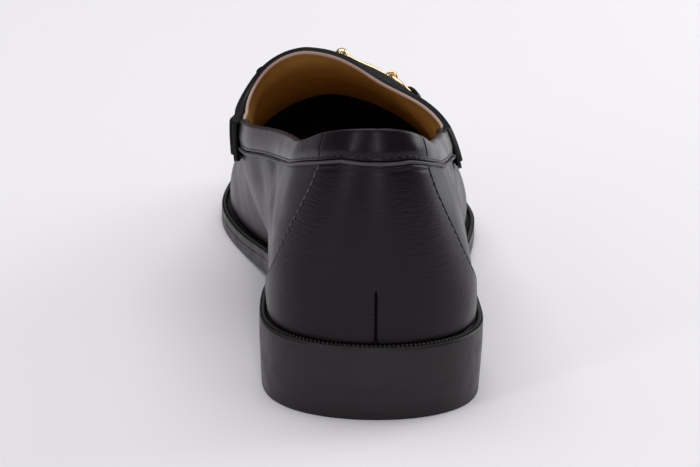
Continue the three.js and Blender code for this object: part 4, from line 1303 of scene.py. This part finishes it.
class LOAFER_OT_sole(PieceBuilder, bpy.types.Operator):
    """Outsole and heel: thin sole with arch and toe spring, and a low block under the seat"""

    bl_idname = "loafer.sole"
    bl_label = "Outsole and heel"

    def build(self, last, sizes, finish):
        edge = material_of("Painted edge", painted_edge, finish.edge)
        turns = full_lap(720)
        breast = sizes.heel_length - sizes.welt_width
        wide = sizes.welt_width
        off_heel = smoothstep(last.along(turns), breast - 1 * MM, breast + 1 * MM)
        round_by = 0.05 * MM + 0.65 * MM * off_heel
        rings = []
        for inset, rise in ((1, 0), (0.3, 0.3), (0, 1)):
            place, lift = wide - inset * round_by, rise * round_by
            rings.append(last.level_ring(turns, place, lambda y: last.underside(y) + lift))
        for inset, drop in ((0, 0.12 * MM), (0.12 * MM, 0)):
            rings.append(last.level_ring(turns, wide - inset, lambda y: last.outsole_top(y) - drop))
        slab("outsole", rings, edge, "sole_edge", ["outsole"])

        def behind(turn):
            return last.feather(turn, wide)[..., 1] < breast

        limit = float(bisect(behind, np.array(0.0), np.array(math.pi / 2)))
        half = np.linspace(0, limit, 121)
        proud = wide + 0.04 * MM
        turns = np.concatenate([half, -half[:0:-1]])
        rings = []
        for inset, rise in ((1.3, 0.0), (1.06, 0.12), (1.0, 0.4)):
            place = wide - sizes.heel_taper - (inset - 1) * MM
            rings.append(last.level_ring(turns, place, lambda y: np.full(len(y), rise * MM)))
        for share in (0.25, 0.5, 0.75, 1.0):
            place = proud - sizes.heel_taper * (1 - share)
            rings.append(last.level_ring(turns, place, lambda y: last.underside(y) * share))
        fade = smoothstep(breast - last.along(turns), 2 * MM, 16 * MM)
        for drop in (1.1 * MM, 0.3 * MM):
            place = proud - 0.5 * MM * (1 - fade)
            rings.append(last.level_ring(turns, place, lambda y: last.welt_top(y) - drop))
        slab("heel", rings, edge, "sole_edge", ["heel"])


class LOAFER_OT_insole(PieceBuilder, bpy.types.Operator):
    """Insole: the sock over its board, hollowed a little for the foot"""

    bl_idname = "loafer.insole"
    bl_label = "Insole"

    def build(self, last, sizes, finish):
        turns = full_lap(360)
        base = -(sizes.wall + 0.3 * MM)
        rings = []
        section = ((0, 0), (0, 0.8), (-0.5, 0.95), (-1.2, 1.0), (-6, 0.93), (-12, 0.88))
        for offset, height in section:
            lift, place = sizes.clearance + height * sizes.insole_thickness, base + offset * MM
            rings.append(last.level_ring(turns, place, lambda y: last.outsole_top(y) + lift))
        lining = lining_of(last, finish)
        piece = slab("insole", rings, lining, "lining", ["insole"])
        rim = piece.data.attributes.new("rim", "FLOAT", "POINT")
        rim.data.foreach_set("value", [1.0] * len(piece.data.vertices))


# How far the rings and the bead lie from their solids, and the share of their thickness that the
# leather loops have on each side
RING_RISE = {"medial": -0.8 * MM, "lateral": -1.7 * MM}
RING_OUT = {"medial": 0.0, "lateral": 1.3 * MM}
BEAD_RISE = 0.5 * MM
LOOP_SHARE = {"medial": 0.45, "lateral": 1.0}


def frame_of_ring(node):
    """Centre and normal of a ring of the frame, from its points"""
    points = np.array([v.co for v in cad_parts[node].data.vertices])
    centre = points.mean(0)
    _, _, axes = np.linalg.svd(points - centre, full_matrices=False)
    return centre, axes[2]


def torus(centre, axis, start, major, minor, around=56, across=18):
    """Points of a ring, round by round"""
    axis = axis / np.linalg.norm(axis)
    first = start - axis * np.dot(start, axis)
    first = first / np.linalg.norm(first)
    second = np.cross(axis, first)
    rings = []
    for angle in full_lap(around):
        out = first * math.cos(angle) + second * math.sin(angle)
        rings.append([
            centre + out * (major + minor * math.cos(b)) + axis * minor * math.sin(b)
            for b in full_lap(across)
        ])
    return np.array(rings)


def turned(start, end, profile, sides=24):
    """A turned body from start to end: profile rows are share and radius"""
    axis = (end - start) / np.linalg.norm(end - start)
    first = np.cross(axis, [0.0, 0.0, 1.0])
    first = first / np.linalg.norm(first)
    second = np.cross(axis, first)
    angles = full_lap(sides)
    rings = []
    for share, radius in profile:
        centre = start + (end - start) * share
        rings.append([
            centre + radius * (first * math.cos(a) + second * math.sin(a)) for a in angles
        ])
    return np.array(rings)


class LOAFER_OT_bit(PieceBuilder, bpy.types.Operator):
    """Snaffle bit: a bar with a bead and two eyes, two rings, and the leather loops that hold them"""

    bl_idname = "loafer.bit"
    bl_label = "Snaffle bit"

    def build(self, last, sizes, finish):
        gold = material_of("Pale gold plate", gold_plate, finish.metal)
        leather = material_of("Polished calf, strap", calf, finish.strap)
        major = (sizes.ring_diameter - sizes.ring_wire) / 2
        rings = {side: frame_of_ring("bit_ring_" + side) for side in ("medial", "lateral")}
        points = np.array([v.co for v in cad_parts["bit_bar"].data.vertices])
        between = (rings["medial"][0] + rings["lateral"][0]) / 2
        way = rings["lateral"][0] - rings["medial"][0]
        way /= np.linalg.norm(way)
        top = points[np.abs((points - between) @ way) < sizes.bead_diameter / 2]
        bead = (top.min(0) + top.max(0)) / 2 + [0, 0, BEAD_RISE]
        radius = sizes.bead_diameter / 2
        bead_profile = [
            (0.5 + 0.5 * math.sin(angle), max(1e-5, radius * math.cos(angle)))
            for angle in np.linspace(-1.5, 1.5, 21)
        ]
        reach = way * radius
        parts = [(turned(bead - reach, bead + reach, bead_profile), False)]
        for side, (centre, axis) in rings.items():
            if axis[2] < 0:
                axis = -axis
            centre = centre + axis * RING_RISE[side]
            away = centre - bead
            away = away - axis * np.dot(away, axis)
            away /= np.linalg.norm(away)
            centre = centre + away * RING_OUT[side]
            along = np.cross(axis, away)
            ring = torus(centre, axis, away, major, sizes.ring_wire / 2)
            loft("bit_ring_" + side, ring, gold, "gold_metal", ["bit_ring_" + side], closed=True)
            eye = centre - away * major
            eye_major = (sizes.ring_wire + sizes.eye_wire) / 2 + 0.12 * MM
            parts.append((torus(eye, along, away, eye_major, sizes.eye_wire / 2, 36, 12), True))
            start = bead + (eye - bead) / np.linalg.norm(eye - bead) * sizes.bead_diameter * 0.42
            stop = eye + (bead - eye) / np.linalg.norm(bead - eye) * eye_major
            wire = sizes.arm_wire
            arm = [
                (0, 0.24), (0.05, 0.42), (0.1, 0.42), (0.14, 0.27), (0.3, 0.3), (0.5, 0.42),
                (0.62, 0.48), (0.74, 0.42), (0.88, 0.28), (0.94, 0.3), (1.0, 0.2),
            ]
            parts.append((turned(start, stop, [(s, r * wire) for s, r in arm]), False))
            self.loop(sizes, side, centre + away * major, away, axis, leather)
        all_points, all_faces = [], []
        for rings_of, closed in parts:
            count, size = rings_of.shape[:2]
            begin = sum(len(p) for p in all_points)
            all_points.append(rings_of.reshape(-1, 3))
            all_faces += grid_faces(count, size, begin, closed, True)
            if not closed:
                all_faces.append(tuple(begin + i for i in range(size)))
                all_faces.append(tuple(begin + (count - 1) * size + i for i in range(size)))
        add_piece("bit_bar", np.concatenate(all_points), all_faces, gold, "gold_metal", ["bit_bar"])

    def loop(self, sizes, side, centre, away, axis, leather):
        """A bridge of leather over the wire of a ring"""
        along = np.cross(axis, away)
        clear = sizes.ring_wire / 2 + 0.15 * MM
        thick = sizes.loop_thickness * LOOP_SHARE[side]
        foot = clear + 1.5 * MM
        inner, outer = -(clear + 1.1 * MM), clear
        path = [(inner, -foot), (inner, -0.5 * clear)]
        for angle in np.linspace(math.pi, 0, 11):
            high = clear * math.sin(angle) ** 0.7 if 0 < angle < math.pi else 0
            path.append(((inner + outer) / 2 + (outer - inner) / 2 * math.cos(angle), high))
        path += [(outer, -0.5 * clear), (outer, -foot)]
        path = np.array(path)
        way = np.gradient(path, axis=0)
        way /= np.linalg.norm(way, axis=1, keepdims=True)
        out = np.column_stack([-way[:, 1], way[:, 0]])
        corner = 0.35 * MM
        half = sizes.loop_width / 2
        rings = []
        for (x, y), (ox, oy) in zip(path, out):
            ring = []
            for z, deep in (
                (-half, corner), (-half + corner, 0), (half - corner, 0), (half, corner),
                (half, thick - corner), (half - corner, thick),
                (-half + corner, thick), (-half, thick - corner),
            ):
                lift = thick - deep
                ring.append(centre + away * (x + ox * lift) + axis * (y + oy * lift) + along * z)
            rings.append(ring)
        loft("bit_loop_" + side, rings, leather, "leather", ["bit_loop_" + side])


# The photo's camera, in the frame of the shoe: its place, and the axes of its picture
CAMERA_PLACE = Vector((-26.7, -753.9, 238)) * MM
CAMERA_YAW = math.radians(-1.6)
CAMERA_PITCH = math.radians(15.35)
CAMERA_AIM = Vector((-2.7, -60, 32)) * MM
PHOTO_LENS = 78.9
CLOSER = 1.6


# The soft boxes, in metres and watts
LIGHTS = table(
    "name place aim size power tint",
    ("overhead", (0.0, 0.35, 2.2), (0, 0, 0), (2.8, 2.4), 42, (1, 0.985, 1)),
    ("right", (1.1, 0.65, 0.55), (0, 0, 0.03), (0.8, 0.9), 6.5, (0.98, 0.99, 1)),
    ("left", (-0.9, 0.1, 1.4), (0, 0, 0.03), (0.6, 0.8), 1, (0.98, 0.99, 1)),
    ("window left", (-1.75, -1.65, 1.0), (0, -0.1, 0.06), (0.2, 1.7), 8, (0.97, 0.96, 1)),
    ("window right", (0.15, -2.35, 1.0), (0, -0.1, 0.06), (0.16, 1.7), 9, (0.97, 0.96, 1)),
)


def add_area(name, place, aim, size, power, tint):
    """A soft box that faces the shoe"""
    light = bpy.data.lights.new(name, "AREA")
    light.shape = "RECTANGLE"
    light.size, light.size_y = size
    light.energy = power
    light.color = tint
    lamp = bpy.data.objects.new(name, light)
    lamp.location = place
    lamp.rotation_euler = (Vector(aim) - Vector(place)).to_track_quat("-Z", "Y").to_euler()
    bpy.context.scene.collection.objects.link(lamp)


class LOAFER_OT_stage(PieceBuilder, bpy.types.Operator):
    """Stage: a pale floor, soft boxes above and at both sides, and the camera of the photo"""

    bl_idname = "loafer.stage"
    bl_label = "Floor, lights and camera"

    def build(self, last, sizes, finish):
        scene = bpy.context.scene
        mesh = bpy.data.meshes.new("floor")
        half = 5.0
        corners = [(x * half, y * half, 0) for x, y in ((-1, -1), (1, -1), (1, 1), (-1, 1))]
        mesh.from_pydata(corners, [], [(0, 1, 2, 3)])
        mesh.materials.append(material_of("Studio board", studio_floor, finish.floor))
        floor = bpy.data.objects.new("floor", mesh)
        scene.collection.objects.link(floor)

        world = bpy.data.worlds.new("studio")
        world.use_nodes = True
        background = world.node_tree.nodes["Background"]
        background.inputs["Color"].default_value = srgb("#eef0f4")
        background.inputs["Strength"].default_value = 0.16
        scene.world = world
        for light in LIGHTS:
            add_area(*light)

        forward_flat = Vector((math.sin(CAMERA_YAW), math.cos(CAMERA_YAW), 0))
        right = Vector((math.cos(CAMERA_YAW), -math.sin(CAMERA_YAW), 0))
        forward = forward_flat * math.cos(CAMERA_PITCH) - Vector((0, 0, math.sin(CAMERA_PITCH)))
        up = right.cross(forward)
        axes = Matrix((right, up, -forward)).transposed()
        swing = forward.rotation_difference(CAMERA_AIM - CAMERA_PLACE)
        data = bpy.data.cameras.new("camera")
        data.lens = PHOTO_LENS * CLOSER
        data.sensor_width = 36
        camera = bpy.data.objects.new("camera", data)
        camera.rotation_mode = "QUATERNION"
        camera.rotation_quaternion = swing @ axes.to_quaternion()
        camera.location = CAMERA_PLACE
        scene.collection.objects.link(camera)
        scene.camera = camera
        scene.view_settings.view_transform = "Standard"


class LOAFER_PT_panel(bpy.types.Panel):
    """Sizes, colours and pieces of the loafer"""

    bl_label = "Loafer"
    bl_idname = "LOAFER_PT_panel"
    bl_space_type = "VIEW_3D"
    bl_region_type = "UI"
    bl_category = "Loafer"

    def draw(self, context):
        for operator in OPERATORS:
            self.layout.operator(operator.bl_idname)
        for group in (context.scene.loafer_sizes, context.scene.loafer_finish):
            for name in group.__annotations__:
                self.layout.prop(group, name)


OPERATORS = (
    LOAFER_OT_stage,
    LOAFER_OT_sole,
    LOAFER_OT_welt,
    LOAFER_OT_insole,
    LOAFER_OT_upper,
    LOAFER_OT_counter,
    LOAFER_OT_collar,
    LOAFER_OT_strap,
    LOAFER_OT_apron,
    LOAFER_OT_bit,
)
CLASSES = (LoaferSizes, LoaferFinish, *OPERATORS, LOAFER_PT_panel)


def register():
    for item in CLASSES:
        bpy.utils.register_class(item)
    bpy.types.Scene.loafer_sizes = bpy.props.PointerProperty(type=LoaferSizes)
    bpy.types.Scene.loafer_finish = bpy.props.PointerProperty(type=LoaferFinish)


def unregister():
    del bpy.types.Scene.loafer_finish
    del bpy.types.Scene.loafer_sizes
    for item in reversed(CLASSES):
        bpy.utils.unregister_class(item)


def main():
    register()
    for operator in OPERATORS:
        group, name = operator.bl_idname.split(".")
        getattr(getattr(bpy.ops, group), name)()


if __name__ == "__main__":
    main()
